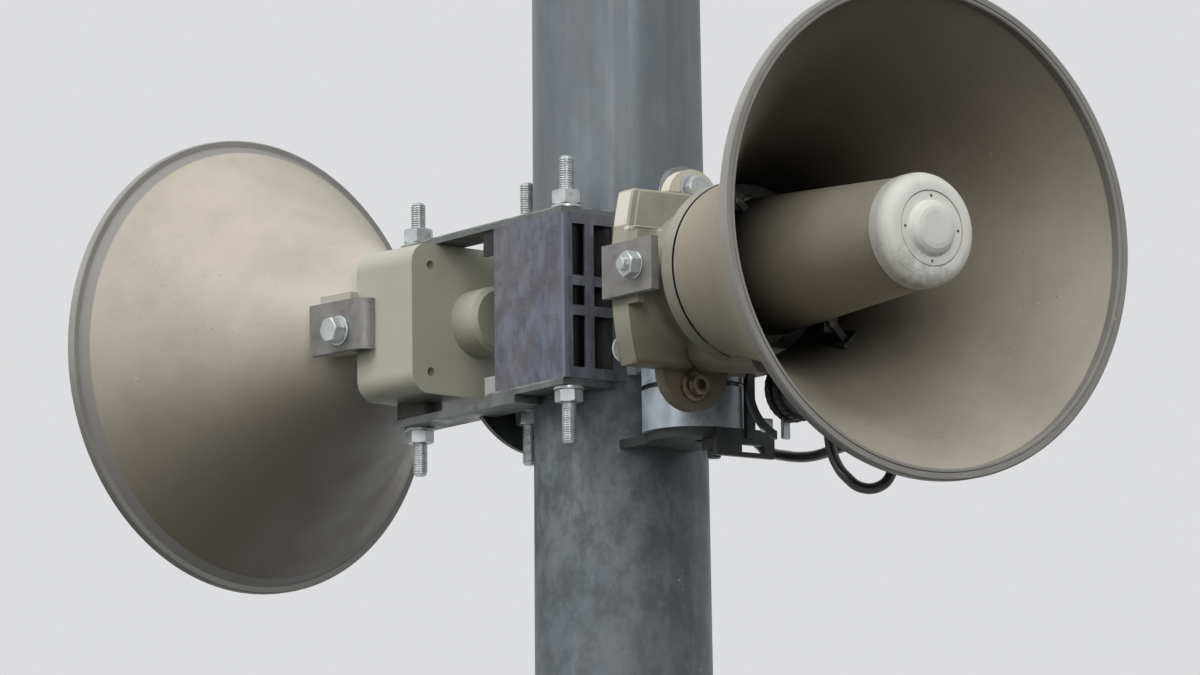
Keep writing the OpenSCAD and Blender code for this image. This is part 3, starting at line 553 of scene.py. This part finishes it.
NODE_FINISH = {
    "galvanised": ["base_flange", "base_gussets", "pole_shaft", "pole_cap", "standoff_saddle"],
    "zinc": ["strap_upper", "strap_lower", "mount_plate"],
    "strip": ["top_strip", "bottom_plate", "bottom_strip"],
    "cleat": ["right_cleats", "left_cleats"],
    "tube": ["support_tube"],
    "grimy": ["bracket_foot", "gland_flange", "rear_cheek"],
    "bright": ["front_rod", "rear_rod", "pan_rod"],
    "casting": ["saddle_block"],
    "housing": ["right_housing", "right_neck", "left_housing", "left_rear_cover", "left_neck"],
    "bell": ["right_bell", "left_bell"],
    "reflector": ["right_reflector", "left_reflector"],
    "rim": ["right_rim", "left_rim"],
    "nose": ["right_nose_cap", "right_nose_plug", "left_nose_cap", "left_nose_plug"],
    "mould": [
        "pole_grommet", "cable_gland", "right_spider", "left_spider", "right_throat_tube", "left_throat_tube",
    ],
    "cable": ["speaker_cable"],
}


# Shapes, given in millimetres


def at(x, y, z):
    return Vector((x, y, z)) * MM


def facing(place, direction):
    """A frame at a place whose Z axis points along direction."""
    turn = Vector(direction).to_track_quat("Z", "Y").to_matrix().to_4x4()
    return Matrix.Translation(at(*place)) @ turn


def spun(angle):
    """A turn about the Z axis, in radians."""
    return Matrix.Rotation(angle, 4, "Z")


def panned(place):
    """A place on the panned horn, as drawn before it was turned to its rest angle."""
    return tuple((PAN_TURN @ at(*place)) / MM)


def panned_way(direction):
    return tuple(PAN_TURN.to_3x3() @ Vector(direction))


def mesh_from(name, build):
    """A mesh that the function build fills."""
    filled = bmesh.new()
    build(filled)
    mesh = bpy.data.meshes.new(name)
    filled.to_mesh(mesh)
    filled.free()
    return mesh


def turned(filled, profile, where=Matrix(), segments=48):
    """Turns (radius, height) pairs round the Z axis of where; a pair may be a function of the angle."""
    rings = []
    for pair in profile:
        angles = [math.tau * k / segments for k in range(segments)]
        if not callable(pair) and pair[0] == 0:
            rings.append([filled.verts.new(where @ at(0, 0, pair[1]))])
            continue
        ring = []
        for angle in angles:
            radius, height = pair(angle) if callable(pair) else pair
            place = at(radius * math.cos(angle), radius * math.sin(angle), height)
            ring.append(filled.verts.new(where @ place))
        rings.append(ring)
    for low, high in zip(rings, rings[1:]):
        for k in range(segments):
            corners = [low[k % len(low)], low[(k + 1) % segments % len(low)]]
            corners += [high[(k + 1) % segments % len(high)], high[k % len(high)]]
            filled.faces.new(dict.fromkeys(corners))


def hexagon(flats, height, base=0.0):
    """Profile of a hexagonal nut or bolt head whose corners are cut by a cone."""
    inner = flats * 0.475

    def corner(angle):
        return flats / 2 / math.cos(angle % (math.pi / 3) - math.pi / 6)

    return [
        (0, base),
        (inner, base),
        lambda angle: (corner(angle), base + (corner(angle) - inner) * 0.5),
        lambda angle: (corner(angle), base + height - (corner(angle) - inner) * 0.5),
        (inner, base + height),
        (0, base + height),
    ]


def disc(radius, thickness, base=0.0):
    """Profile of a washer or stud end with broken edges."""
    edge, top = 0.3, base + thickness
    return [
        (0, base), (radius - edge, base), (radius, base + edge),
        (radius, top - edge), (radius - edge, top), (0, top),
    ]


def block(filled, low, high, bevel):
    """A block between two corners, with rounded edges."""
    made = bmesh.ops.create_cube(filled, size=1.0)["verts"]
    middle = (Vector(low) + Vector(high)) / 2
    size = Vector(high) - Vector(low)
    for vert in made:
        vert.co = at(*(middle + Vector(c * s for c, s in zip(vert.co, size))))
    edges = list(dict.fromkeys(edge for vert in made for edge in vert.link_edges))
    bmesh.ops.bevel(
        filled, geom=edges, offset=bevel * MM, segments=2, profile=0.5, affect="EDGES",
        clamp_overlap=True,
    )


# Geometry Nodes


class Builder(Tree):
    """A Geometry Nodes tree with named inputs that ends in one plain, finished mesh."""

    def __init__(self, name, inputs):
        self.group = bpy.data.node_groups.new(name, "GeometryNodeTree")
        super().__init__(self.group)
        wanted = {"Geometry": "Geometry", **inputs, "Finish": "Material"}
        for label, kind in wanted.items():
            self.group.interface.new_socket(label, in_out="INPUT", socket_type="NodeSocket" + kind)
        self.group.interface.new_socket("Geometry", in_out="OUTPUT", socket_type="NodeSocketGeometry")
        self.given = self.nodes.new("NodeGroupInput").outputs

    def close(self, geometry):
        real = self.add("GeometryNodeRealizeInstances", {0: geometry})
        finished = self.add(
            "GeometryNodeSetMaterial", {"Geometry": real.outputs[0], "Material": self.given["Finish"]}
        )
        self.links.new(finished.outputs[0], self.nodes.new("NodeGroupOutput").inputs[0])
        return self.group


def thread_tree():
    """A ridge wound round each point, along +Z."""
    t = Builder("thread", {"Radius": "Float", "Pitch": "Float", "Ridge": "Float", "Length": "Float"})
    turns = t.add("ShaderNodeMath", {0: t.given["Length"], 1: t.given["Pitch"]}, operation="DIVIDE")
    spiral = t.add(
        "GeometryNodeCurveSpiral",
        {
            "Resolution": 16, "Rotations": turns.outputs[0], "Height": t.given["Length"],
            "Start Radius": t.given["Radius"], "End Radius": t.given["Radius"],
        },
    )
    ridge = t.add("GeometryNodeCurvePrimitiveCircle", {"Resolution": 4, "Radius": t.given["Ridge"]})
    wound = t.add(
        "GeometryNodeCurveToMesh",
        {"Curve": spiral.outputs[0], "Profile Curve": ridge.outputs[0], "Fill Caps": True},
    )
    placed = t.add(
        "GeometryNodeInstanceOnPoints", {"Points": t.given["Geometry"], "Instance": wound.outputs[0]}
    )
    return t.close(placed.outputs[0])


def copies_tree():
    """A copy of the template at each point, its Z axis along the point's facing."""
    t = Builder("copies", {"Template": "Object"})
    template = t.add("GeometryNodeObjectInfo", {"Object": t.given["Template"]})
    way = t.add("GeometryNodeInputNamedAttribute", {"Name": "facing"}, data_type="FLOAT_VECTOR")
    turn = t.add("FunctionNodeAlignRotationToVector", {"Vector": way.outputs["Attribute"]}, axis="Z")
    placed = t.add(
        "GeometryNodeInstanceOnPoints",
        {
            "Points": t.given["Geometry"], "Instance": template.outputs["Geometry"],
            "Rotation": turn.outputs[0],
        },
    )
    return t.close(placed.outputs[0])


def bead_tree():
    """Overlapping drops of weld metal along the edges."""
    t = Builder("weld", {"Radius": "Float", "Spacing": "Float"})
    line = t.add("GeometryNodeMeshToCurve", {"Mesh": t.given["Geometry"]})
    spaced = t.add(
        "GeometryNodeResampleCurve", {"Curve": line.outputs[0], "Length": t.given["Spacing"]}, mode="LENGTH"
    )
    drop = t.add("GeometryNodeMeshIcoSphere", {"Radius": t.given["Radius"], "Subdivisions": 2})
    size = t.add("FunctionNodeRandomValue", {"Seed": 5}, data_type="FLOAT")
    spread = t.add("ShaderNodeMapRange", {"Value": size.outputs[1], "To Min": 0.85, "To Max": 1.1})
    placed = t.add(
        "GeometryNodeInstanceOnPoints",
        {"Points": spaced.outputs[0], "Instance": drop.outputs[0], "Scale": spread.outputs[0]},
    )
    return t.close(placed.outputs[0])


def points_mesh(name, places, edges=()):
    """Points with the direction that each one faces."""
    mesh = bpy.data.meshes.new(name)
    mesh.from_pydata([at(*place) for place, _way in places], edges, [])
    ways = mesh.attributes.new("facing", "FLOAT_VECTOR", "POINT")
    for k, (_place, way) in enumerate(places):
        ways.data[k].vector = way
    return mesh


def put(name, data):
    """A new object in the scene."""
    made = bpy.data.objects.new(name, data)
    bpy.context.scene.collection.objects.link(made)
    return made


def grown(name, points, tree, **values):
    """The plain mesh that a tree makes of some points."""
    seed = put(name + "_points", points)
    modifier = seed.modifiers.new("grow", "NODES")
    modifier.node_group = tree
    for socket in tree.interface.items_tree:
        if socket.in_out == "INPUT" and socket.name in values:
            modifier[socket.identifier] = values[socket.name]
    graph = bpy.context.evaluated_depsgraph_get()
    mesh = bpy.data.meshes.new_from_object(seed.evaluated_get(graph))
    mesh.name = name
    bpy.data.objects.remove(seed)
    return mesh


def copies(name, build, places, finish="bright", body=POLE):
    """One piece made of copies of the shape that build makes."""
    holder = bpy.data.objects.new(name + "_template", mesh_from(name + "_template", build))
    points = points_mesh(name + "_places", places)
    mesh = grown(name, points, copies_tree(), Template=holder, Finish=FINISHES[finish])
    bpy.data.objects.remove(holder)
    return piece(name, mesh, FINISHES[finish], body)


def piece(name, mesh, material, body):
    """A finished piece of the object, at the origin, riding on a body."""
    made = put(name, mesh)
    if not mesh.materials:
        mesh.materials.append(material)
    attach(made, body)
    return made


def round_places(x, y, z, radius, angles, way):
    """Places on a circle that lies across the X axis, all facing one way."""
    return [((x, y + radius * math.cos(a), z + radius * math.sin(a)), way) for a in angles]


def box_mm(node):
    """A node's lowest and highest corners in millimetres."""
    low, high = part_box(node)
    return Vector(low) / MM, Vector(high) / MM


# Pieces


class HORNPOLE_OT_cable(bpy.types.Operator):
    """Hang the loudspeaker cable between its gland and the pole"""

    bl_idname = "horn_pole.cable"
    bl_label = "Cable"

    # The route in part.scad, in metres
    route = (
        (0.1842, 0.0204, 3.0342), (0.1872, 0.0204, 3.0342), (0.1902, 0.0204, 3.0342),
        (0.1939, 0.0202, 3.0336), (0.1988, 0.0194, 3.0312), (0.2027, 0.0179, 3.0269),
        (0.2058, 0.0160, 3.0211), (0.2093, 0.0132, 3.0121), (0.2134, 0.0100, 3.0002),
        (0.2190, 0.0076, 2.9879), (0.2273, 0.0061, 2.9766), (0.2352, 0.0067, 2.9688),
        (0.2435, 0.0128, 2.9612), (0.2499, 0.0229, 2.9624), (0.2507, 0.0310, 2.9713),
        (0.2450, 0.0367, 2.9807), (0.2342, 0.0407, 2.9882), (0.2199, 0.0434, 2.9936),
        (0.2009, 0.0452, 2.9969), (0.1827, 0.0464, 2.9976), (0.1638, 0.0477, 2.9967),
        (0.1450, 0.0493, 2.9961), (0.1266, 0.0507, 2.9976), (0.1071, 0.0531, 3.0011),
        (0.0913, 0.0558, 3.0046), (0.0778, 0.0588, 3.0089), (0.0696, 0.0609, 3.0133),
        (0.0636, 0.0611, 3.0169), (0.0588, 0.0594, 3.0190), (0.0522, 0.0541, 3.0200),
        (0.0502, 0.0519, 3.0200), (0.0481, 0.0498, 3.0200),
    )

    def execute(self, context):
        sizes = context.scene.horn_pole_sizes
        curve = bpy.data.curves.new("speaker_cable_run", "CURVE")
        curve.dimensions = "3D"
        curve.bevel_depth = sizes.cable / 2
        curve.bevel_resolution = 5
        curve.resolution_u = 5
        curve.use_fill_caps = True
        line = curve.splines.new("BEZIER")
        line.bezier_points.add(len(self.route) - 1)
        for point, place in zip(line.bezier_points, self.route):
            point.co = place
            point.handle_left_type = point.handle_right_type = "AUTO"
        curve.materials.append(FINISHES["cable"])
        made = put("speaker_cable_run", curve)
        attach(made, POLE)
        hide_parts("speaker_cable")
        return {"FINISHED"}


class HORNPOLE_OT_rods(bpy.types.Operator):
    """Cut threads on the three clamp rods and chamfer their nuts and washers"""

    bl_idname = "horn_pole.rods"
    bl_label = "Rods and nuts"

    thread_depth = 0.85
    # The thread begins and stops this far from the rod's ends
    thread_end = 1.5
    # Way, turn and growth of the upper and the lower nut
    nuts = ((1, 0.35, 1.14), (-1, 0.2, 1.0))

    def fasteners(self, filled, place, low, high, seats, sizes):
        """The rod's core with chamfered ends, and a washer and nut on each seat."""
        radius, flats = sizes.rod_radius / MM, sizes.nut_flats / MM
        height, washer = sizes.nut_height / MM, sizes.washer / MM
        core = radius - self.thread_depth
        tip = core - 0.9
        turned(
            filled,
            [(0, low), (tip, low), (core, low + 1), (core, high - 1), (tip, high), (0, high)],
            Matrix.Translation(at(*place, 0)),
        )
        for level, (way, turn, growth) in zip(seats, self.nuts):
            seat = facing((*place, level), (0, 0, way))
            turned(filled, disc(radius * 2, washer), seat)
            turned(filled, hexagon(flats * growth, height * growth, washer), seat @ spun(turn))

    def execute(self, context):
        sizes = context.scene.horn_pole_sizes
        tree = thread_tree()
        ridge = sizes.thread_ridge
        over = box_mm("top_strip")[1].z
        for name, under_node in (
            ("front_rod", "bottom_plate"), ("rear_rod", "bottom_plate"), ("pan_rod", "bottom_strip")
        ):
            low, high = box_mm(name)
            place = ((low.x + high.x) / 2, (low.y + high.y) / 2)
            start = low.z + self.thread_end
            thread = grown(
                name + "_thread", points_mesh(name + "_start", [((*place, start), (0, 0, 1))]), tree,
                Radius=sizes.rod_radius - ridge, Pitch=sizes.thread_pitch, Ridge=ridge,
                Length=(high.z - start - self.thread_end) * MM, Finish=FINISHES["bright"],
            )
            seats = (over, box_mm(under_node)[0].z)

            def threaded_rod(filled):
                filled.from_mesh(thread)
                self.fasteners(filled, place, low.z, high.z, seats, sizes)

            name_threaded = name + "_threaded"
            mesh = mesh_from(name_threaded, threaded_rod)
            made = piece(name_threaded, mesh, FINISHES["bright"], POLE)
            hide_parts(name)
        return {"FINISHED"}


class HORNPOLE_OT_bolts(bpy.types.Operator):
    """Put the bolts, nuts and screws on the horns and their brackets"""

    bl_idname = "horn_pole.bolts"
    bl_label = "Bolts and screws"

    head_flats = 15
    # X and height of the bolts on the fixed and on the panned horn's cleats
    fixed_cleat, panned_cleat = (172, 3103.2), (-163, 3104.7)
    # Half the distance between the panned horn's cleats
    cleat_reach = 68
    # Circles of the spider's feet and of the screws in a nose plug, and half a clamp's side
    leg_circle, plug_circle, clamp = 51, 20.4, 6

    def stud_nut(self, filled):
        """A washer, a nut and the end of its bolt."""
        turned(filled, disc(8.6, 1.2))
        turned(filled, hexagon(self.head_flats, 7.2, 1.2), spun(0.3))
        turned(filled, [(0, 8), (4.3, 8), (4.3, 11.6), (3.6, 12.4), (0, 12.4)])

    def bolt_head(self, filled, height=8.5, turn=0.2):
        """A washer and a hexagonal head."""
        washer = 1.6
        turned(filled, disc(10, washer))
        turned(filled, hexagon(self.head_flats, height, washer), spun(turn))

    def lug_head(self, filled):
        self.bolt_head(filled, 6.5, 0.45)

    def corner_head(self, filled):
        """A low domed head."""
        turned(filled, [(0, 0), (8.5, 0), (8.5, 1.4), (7.8, 2.4), (5.2, 3.2), (0, 3.5)])

    def foot_nut(self, filled):
        """A nut and the end of its bolt."""
        turned(filled, hexagon(14, 8))
        turned(filled, [(0, 7), (4.3, 7), (4.3, 12.4), (3.6, 13), (0, 13)])

    def socket_stud(self, filled):
        """A round collar with a hollow stud end."""
        turned(
            filled,
            [
                (0, 0), (9.6, 0), (9.6, 3.4), (8.9, 4.2), (7.2, 4.2), (6.8, 3), (6.2, 3),
                (6.2, 10), (5.5, 10.8), (3.9, 10.8), (3.4, 10), (3.4, 6.5), (0, 6.5),
            ],
        )

    def cap_screw(self, filled):
        """A small domed screw."""
        turned(filled, [(0, 0), (3.3, 0), (3.3, 1), (2.8, 1.9), (1.5, 2.4), (0, 2.5)], segments=24)

    def small_screw(self, filled):
        """A screw of a nose plug."""
        turned(filled, [(0, 0), (0.9, 0), (0.9, 0.35), (0.6, 0.6), (0, 0.6)], segments=16)

    def leg_clamp(self, filled):
        """Block on the foot of a spider's leg, with its front on the XY plane."""
        side = self.clamp
        block(filled, (-side, -side, -side), (side, side, 0), bevel=1.0)

    def cleat_bolts(self):
        """Nuts on the fixed horn's cleats and bolts on the panned horn's, near and far side."""
        low, high = box_mm("right_cleats")
        x, z = self.fixed_cleat
        fixed = [((x, low.y, z), (0, -1, 0)), ((x, high.y, z), (0, 1, 0))]
        copies("right_cleat_nuts", self.stud_nut, fixed)
        x, z = self.panned_cleat
        swung = [
            (panned((x, LEFT_Y + side * self.cleat_reach, z)), panned_way((0, side, 0)))
            for side in (-1, 1)
        ]
        copies("left_cleat_bolts", self.bolt_head, swung, body=PANNED)

    def casting_bolts(self):
        """Fasteners on the casting's lugs and back, behind the mounting plate and under the foot."""
        back = box_mm("right_housing")[0].x
        plate = box_mm("mount_plate")[0].x
        lug = back + 9

        def placed(x, across, rise, way):
            return (x, AXIS_Y + across, AXIS_Z + rise), (way, 0, 0)

        copies("upper_lug_bolt", self.lug_head, [placed(lug, 0, 61, 1)])
        copies("lower_lug_stud", self.socket_stud, [placed(lug, -2.5, -66.5, 1)], "stained")
        copies("rear_bolts", self.bolt_head, [placed(plate, 0, rise, -1) for rise in (-63.5, 63.5)])
        corners = [placed(back, across, -45, -1) for across in (-49, 49)]
        copies("casting_corner_bolts", self.corner_head, corners)
        under_foot = [((117, -10, FOOT_UNDER), (0, 0, -1))]
        copies("foot_nut", self.foot_nut, under_foot, "grimy")

    def leg_screws(self):
        """Clamps and screws on the four feet of the fixed horn's spider."""
        x = box_mm("right_spider")[1].x - self.clamp
        angles = [math.radians(45 + 90 * k) for k in range(4)]
        places = round_places(x, AXIS_Y, AXIS_Z, self.leg_circle, angles, (1, 0, 0))
        copies("right_leg_clamps", self.leg_clamp, places, "mould")
        copies("right_leg_screws", self.cap_screw, places, "stained")

    def nose_screws(self):
        """Four screws in the nose plug of each horn."""
        quarters = [math.pi / 2 * k for k in range(4)]
        x = box_mm("right_rim")[1].x + PLUG_PROUD
        right = round_places(x, AXIS_Y, AXIS_Z, self.plug_circle, quarters, (1, 0, 0))
        x = PAN_X - LEFT_REACH - PLUG_PROUD
        left = [
            (panned(place), panned_way(way))
            for place, way in round_places(x, LEFT_Y, LEFT_Z, self.plug_circle, quarters, (-1, 0, 0))
        ]
        copies("right_nose_screws", self.small_screw, right, "stained")
        copies("left_nose_screws", self.small_screw, left, "stained", PANNED)

    def cap_screws(self):
        """Three screws round the pole's cap."""
        low, high = box_mm("pole_cap")
        radius, level = high.x - 0.3, low.z + 18
        places = []
        for angle in (math.tau * (k + 0.2) / 3 for k in range(3)):
            way = (math.cos(angle), math.sin(angle), 0)
            places.append(((radius * way[0], radius * way[1], level), way))
        copies("cap_screws", self.cap_screw, places)

    def execute(self, context):
        self.cleat_bolts()
        self.casting_bolts()
        self.leg_screws()
        self.nose_screws()
        self.cap_screws()
        return {"FINISHED"}


class HORNPOLE_OT_fittings(bpy.types.Operator):
    """Add the gland's ribs and tabs, the plate beside the tube and the straps' screw housings"""

    bl_idname = "horn_pole.fittings"
    bl_label = "Gland and strap fittings"

    # Ribs in one ring round the gland, their circle, and where the two rings stand on it
    rib_count, rib_circle, rib_rings = 28, 20, (2.5, 10.5)

    def side_plate(self, filled):
        """Upright plate beside the tube, standing in the foot's plate."""
        block(filled, (126, 7, FOOT_UNDER), (129.8, 14, 3055), bevel=0.5)

    def gland_rib(self, filled):
        block(filled, (-2.1, -1.1, -0.8), (2.1, 1.1, 0.7), bevel=0.4)

    def tabs(self, filled):
        """Bent ends of the gland's ring."""
        x = box_mm("gland_flange")[0].x
        block(filled, (x + 0.2, -1.5, FOOT_UNDER), (x + 2.6, 7.4, 3015.5), bevel=0.8)
        block(filled, (x + 0.2, 14.6, 3003), (x + 2.8, 21, 3020), bevel=0.9)

    def strap_lock(self, filled):
        """Screw housing of a band: a raised box with a slotted screw."""
        block(filled, (-14, -9, -1), (14, 9, 2.5), bevel=0.8)
        block(filled, (-11, -6, 0), (9, 6, 8.5), bevel=2.0)
        screw = facing((8.5, 0, 4.6), (1, 0, 0))
        turned(filled, hexagon(8, 6), screw, 24)
        turned(filled, disc(2.6, 3, 5.5), screw, 24)

    def execute(self, context):
        low, high = box_mm("cable_gland")
        y, z = (low.y + high.y) / 2, (low.z + high.z) / 2
        ribs = []
        for x in (low.x + out for out in self.rib_rings):
            for angle in (math.tau * k / self.rib_count for k in range(self.rib_count)):
                across, rise = math.cos(angle), math.sin(angle)
                place = (x, y + self.rib_circle * across, z + self.rib_circle * rise)
                ribs.append((place, (0, across, rise)))
        copies("gland_ribs", self.gland_rib, ribs, "mould")
        tabs = mesh_from("gland_tabs", self.tabs)
        piece("gland_tabs", tabs, FINISHES["bright"], POLE)
        side_plate = mesh_from("tube_side_plate", self.side_plate)
        piece("tube_side_plate", side_plate, FINISHES["grimy"], POLE)
        locks = []
        for name in ("strap_upper", "strap_lower"):
            low, high = box_mm(name)
            locks.append(((0, high.y - 0.2, (low.z + high.z) / 2), (0, 1, 0)))
        copies("strap_locks", self.strap_lock, locks)
        return {"FINISHED"}


class HORNPOLE_OT_welds(bpy.types.Operator):
    """Run weld beads round the pole's foot and along its gussets"""

    bl_idname = "horn_pole.welds"
    bl_label = "Welds"

    # Radius of the pole at the flange, and half the gussets' thickness
    rim, gusset = 75.0, 5

    def lines(self):
        """The seams: a ring at the flange, and both sides of each gusset."""
        top = box_mm("base_flange")[1].z
        rim = self.rim
        places, edges = [], []

        def run(points, closed=False):
            first = len(places)
            places.extend((point, (0, 0, 1)) for point in points)
            edges.extend((first + k, first + k + 1) for k in range(len(points) - 1))
            if closed:
                edges.append((len(places) - 1, first))

        ring = (math.tau * k / 96 for k in range(96))
        run([(rim * math.cos(a), rim * math.sin(a), top) for a in ring], True)
        for quarter in range(4):
            turn = Matrix.Rotation(math.pi / 2 * quarter, 3, "Z")
            for side in (-self.gusset, self.gusset):
                seam = (
                    (138, side, top), (rim + 1, side, top),
                    (rim - 0.8, side, top + 5), (rim - 1.4, side, top + 108),
                )
                run([tuple(turn @ Vector(place)) for place in seam])
        return points_mesh("weld_lines", places, edges)

    def execute(self, context):
        sizes = context.scene.horn_pole_sizes
        finish = FINISHES["galvanised"]
        mesh = grown(
            "foot_welds", self.lines(), bead_tree(),
            Radius=sizes.bead, Spacing=sizes.bead * 0.8, Finish=finish,
        )
        piece("foot_welds", mesh, finish, POLE)
        return {"FINISHED"}


class HORNPOLE_OT_finishes(bpy.types.Operator):
    """Give every CAD piece its own finish"""

    bl_idname = "horn_pole.finishes"
    bl_label = "Finishes"

    def execute(self, context):
        make_finishes(context.scene.horn_pole_paints)
        for finish, names in NODE_FINISH.items():
            for name in names:
                for material_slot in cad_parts[name].material_slots:
                    material_slot.material = FINISHES[finish]
        return {"FINISHED"}


class HORNPOLE_OT_stage(bpy.types.Operator):
    """Set up the floor, the pale surroundings, the lamps and the camera"""

    bl_idname = "horn_pole.stage"
    bl_label = "Stage"

    floor_side = 60.0
    # The surroundings as the camera sees them, and the light that they give
    pale, sky_light = (0.72, 0.725, 0.74), (0.95, 0.98, 1.0)
    # The floor as lamps and as the camera see it
    floor_unseen, floor_seen = (0.04, 0.04, 0.04), (0.8, 0.8, 0.8)
    # What the lamps point at, and the point that the camera is placed from
    lit, horns = (0, 0, 3.1), (0, 0, 3.12)
    key_place, key_width = (-0.5, -4.6, 7.6), 4.0
    fill_place, fill_width = (5.5, -3.0, 4.6), 3.0
    # The photograph's size, where the pole stands in it, and the width of the camera's sensor
    image_width, image_height = 1200, 675
    pole_pixel = (619.3, 290.0)
    sensor = 36

    def flat_sheet(self, filled):
        bmesh.ops.create_grid(filled, x_segments=1, y_segments=1, size=self.floor_side / 2)

    def floor(self):
        mesh = mesh_from("floor", self.flat_sheet)
        f = Finish("floor_paper", self.floor_unseen, roughness=0.9, specular=0.1)
        rays = f.add("ShaderNodeLightPath").outputs
        f.lay(self.floor_seen, f.math("MAXIMUM", rays["Is Camera Ray"], rays["Is Glossy Ray"]))
        mesh.materials.append(f.show())
        put("floor", mesh)

    def surroundings(self):
        world = bpy.data.worlds.new("pale_surroundings")
        world.use_nodes = True
        bpy.context.scene.world = world
        world.node_tree.nodes.clear()
        t = Tree(world.node_tree)
        rays = t.add("ShaderNodeLightPath").outputs
        seen = rays["Is Camera Ray"]
        for ray in ("Is Glossy Ray", "Is Transmission Ray"):
            seen = t.add("ShaderNodeMath", {0: seen, 1: rays[ray]}, operation="MAXIMUM").outputs[0]
        way = t.add("ShaderNodeSeparateXYZ", {0: t.add("ShaderNodeTexCoord").outputs["Generated"]})
        # The sky's light is weak from below and full from overhead
        up = t.add(
            "ShaderNodeMapRange",
            {"Value": way.outputs[2], "From Min": -0.15, "From Max": 0.8, "To Min": 0.04, "To Max": 1.05},
        )
        sky = t.add("ShaderNodeBackground", {"Color": self.sky_light, "Strength": up.outputs[0]})
        shown = t.add("ShaderNodeBackground", {"Color": self.pale, "Strength": 1.0})
        mixed = t.add("ShaderNodeMixShader", {0: seen, 1: sky.outputs[0], 2: shown.outputs[0]})
        t.add("ShaderNodeOutputWorld", {0: mixed.outputs[0]})

    def lamp(self, name, power, place, width):
        data = bpy.data.lights.new(name, "AREA")
        data.energy = power
        data.shape = "DISK"
        data.size = width
        made = put(name, data)
        made.location = place
        way = Vector(self.lit) - Vector(place)
        made.rotation_euler = way.to_track_quat("-Z", "Y").to_euler()

    def camera(self, studio):
        """The camera of the photograph: a long lens from below."""
        focal = studio.lens / self.sensor * self.image_width
        back = Vector(
            (
                math.sin(studio.azimuth) * math.cos(studio.elevation),
                -math.cos(studio.azimuth) * math.cos(studio.elevation),
                math.sin(studio.elevation),
            )
        )
        right = (-back).cross(Vector((0, 0, 1))).normalized()
        up = right.cross(-back)
        lean = Matrix.Rotation(-studio.roll, 3, -back)
        right, up = lean @ right, lean @ up
        across = (self.pole_pixel[0] - self.image_width / 2) / focal
        rise = (self.image_height / 2 - self.pole_pixel[1]) / focal
        data = bpy.data.cameras.new("camera")
        data.lens = studio.lens
        data.sensor_width = self.sensor
        data.clip_start = 0.1
        data.clip_end = 100
        made = put("camera", data)
        turn = Matrix((right, up, back)).transposed().to_4x4()
        place = Vector(self.horns) - (-back + across * right + rise * up) * studio.distance
        made.matrix_world = Matrix.Translation(place) @ turn
        bpy.context.scene.camera = made

    def execute(self, context):
        studio = context.scene.horn_pole_studio
        context.scene.view_settings.view_transform = "Standard"
        self.floor()
        self.surroundings()
        self.lamp("key", studio.key, self.key_place, self.key_width)
        self.lamp("camera_side", studio.fill, self.fill_place, self.fill_width)
        self.camera(studio)
        return {"FINISHED"}


class HORNPOLE_PT_panel(bpy.types.Panel):
    """Lists the steps and their settings"""

    bl_idname = "HORNPOLE_PT_panel"
    bl_label = "Horn Pole"
    bl_space_type = "VIEW_3D"
    bl_region_type = "UI"
    bl_category = "Horn Pole"

    def draw(self, context):
        for step in STEPS:
            self.layout.operator(step.bl_idname)
        for name, group in GROUPS.items():
            box = self.layout.box()
            for setting in group.__annotations__:
                box.prop(getattr(context.scene, name), setting)


STEPS = (
    HORNPOLE_OT_stage, HORNPOLE_OT_finishes, HORNPOLE_OT_cable, HORNPOLE_OT_rods, HORNPOLE_OT_bolts,
    HORNPOLE_OT_fittings, HORNPOLE_OT_welds,
)
GROUPS = {
    "horn_pole_paints": HORNPOLE_PG_paints,
    "horn_pole_sizes": HORNPOLE_PG_sizes,
    "horn_pole_studio": HORNPOLE_PG_studio,
}
CLASSES = (*GROUPS.values(), *STEPS, HORNPOLE_PT_panel)


def register():
    for made in CLASSES:
        bpy.utils.register_class(made)
    for name, group in GROUPS.items():
        setattr(bpy.types.Scene, name, bpy.props.PointerProperty(type=group))


def unregister():
    for name in GROUPS:
        delattr(bpy.types.Scene, name)
    for made in reversed(CLASSES):
        bpy.utils.unregister_class(made)


def main():
    register()
    bpy.ops.horn_pole.stage()
    bpy.ops.horn_pole.finishes()
    bpy.ops.horn_pole.cable()
    bpy.ops.horn_pole.rods()
    bpy.ops.horn_pole.bolts()
    bpy.ops.horn_pole.fittings()
    bpy.ops.horn_pole.welds()


if __name__ == "__main__":
    main()
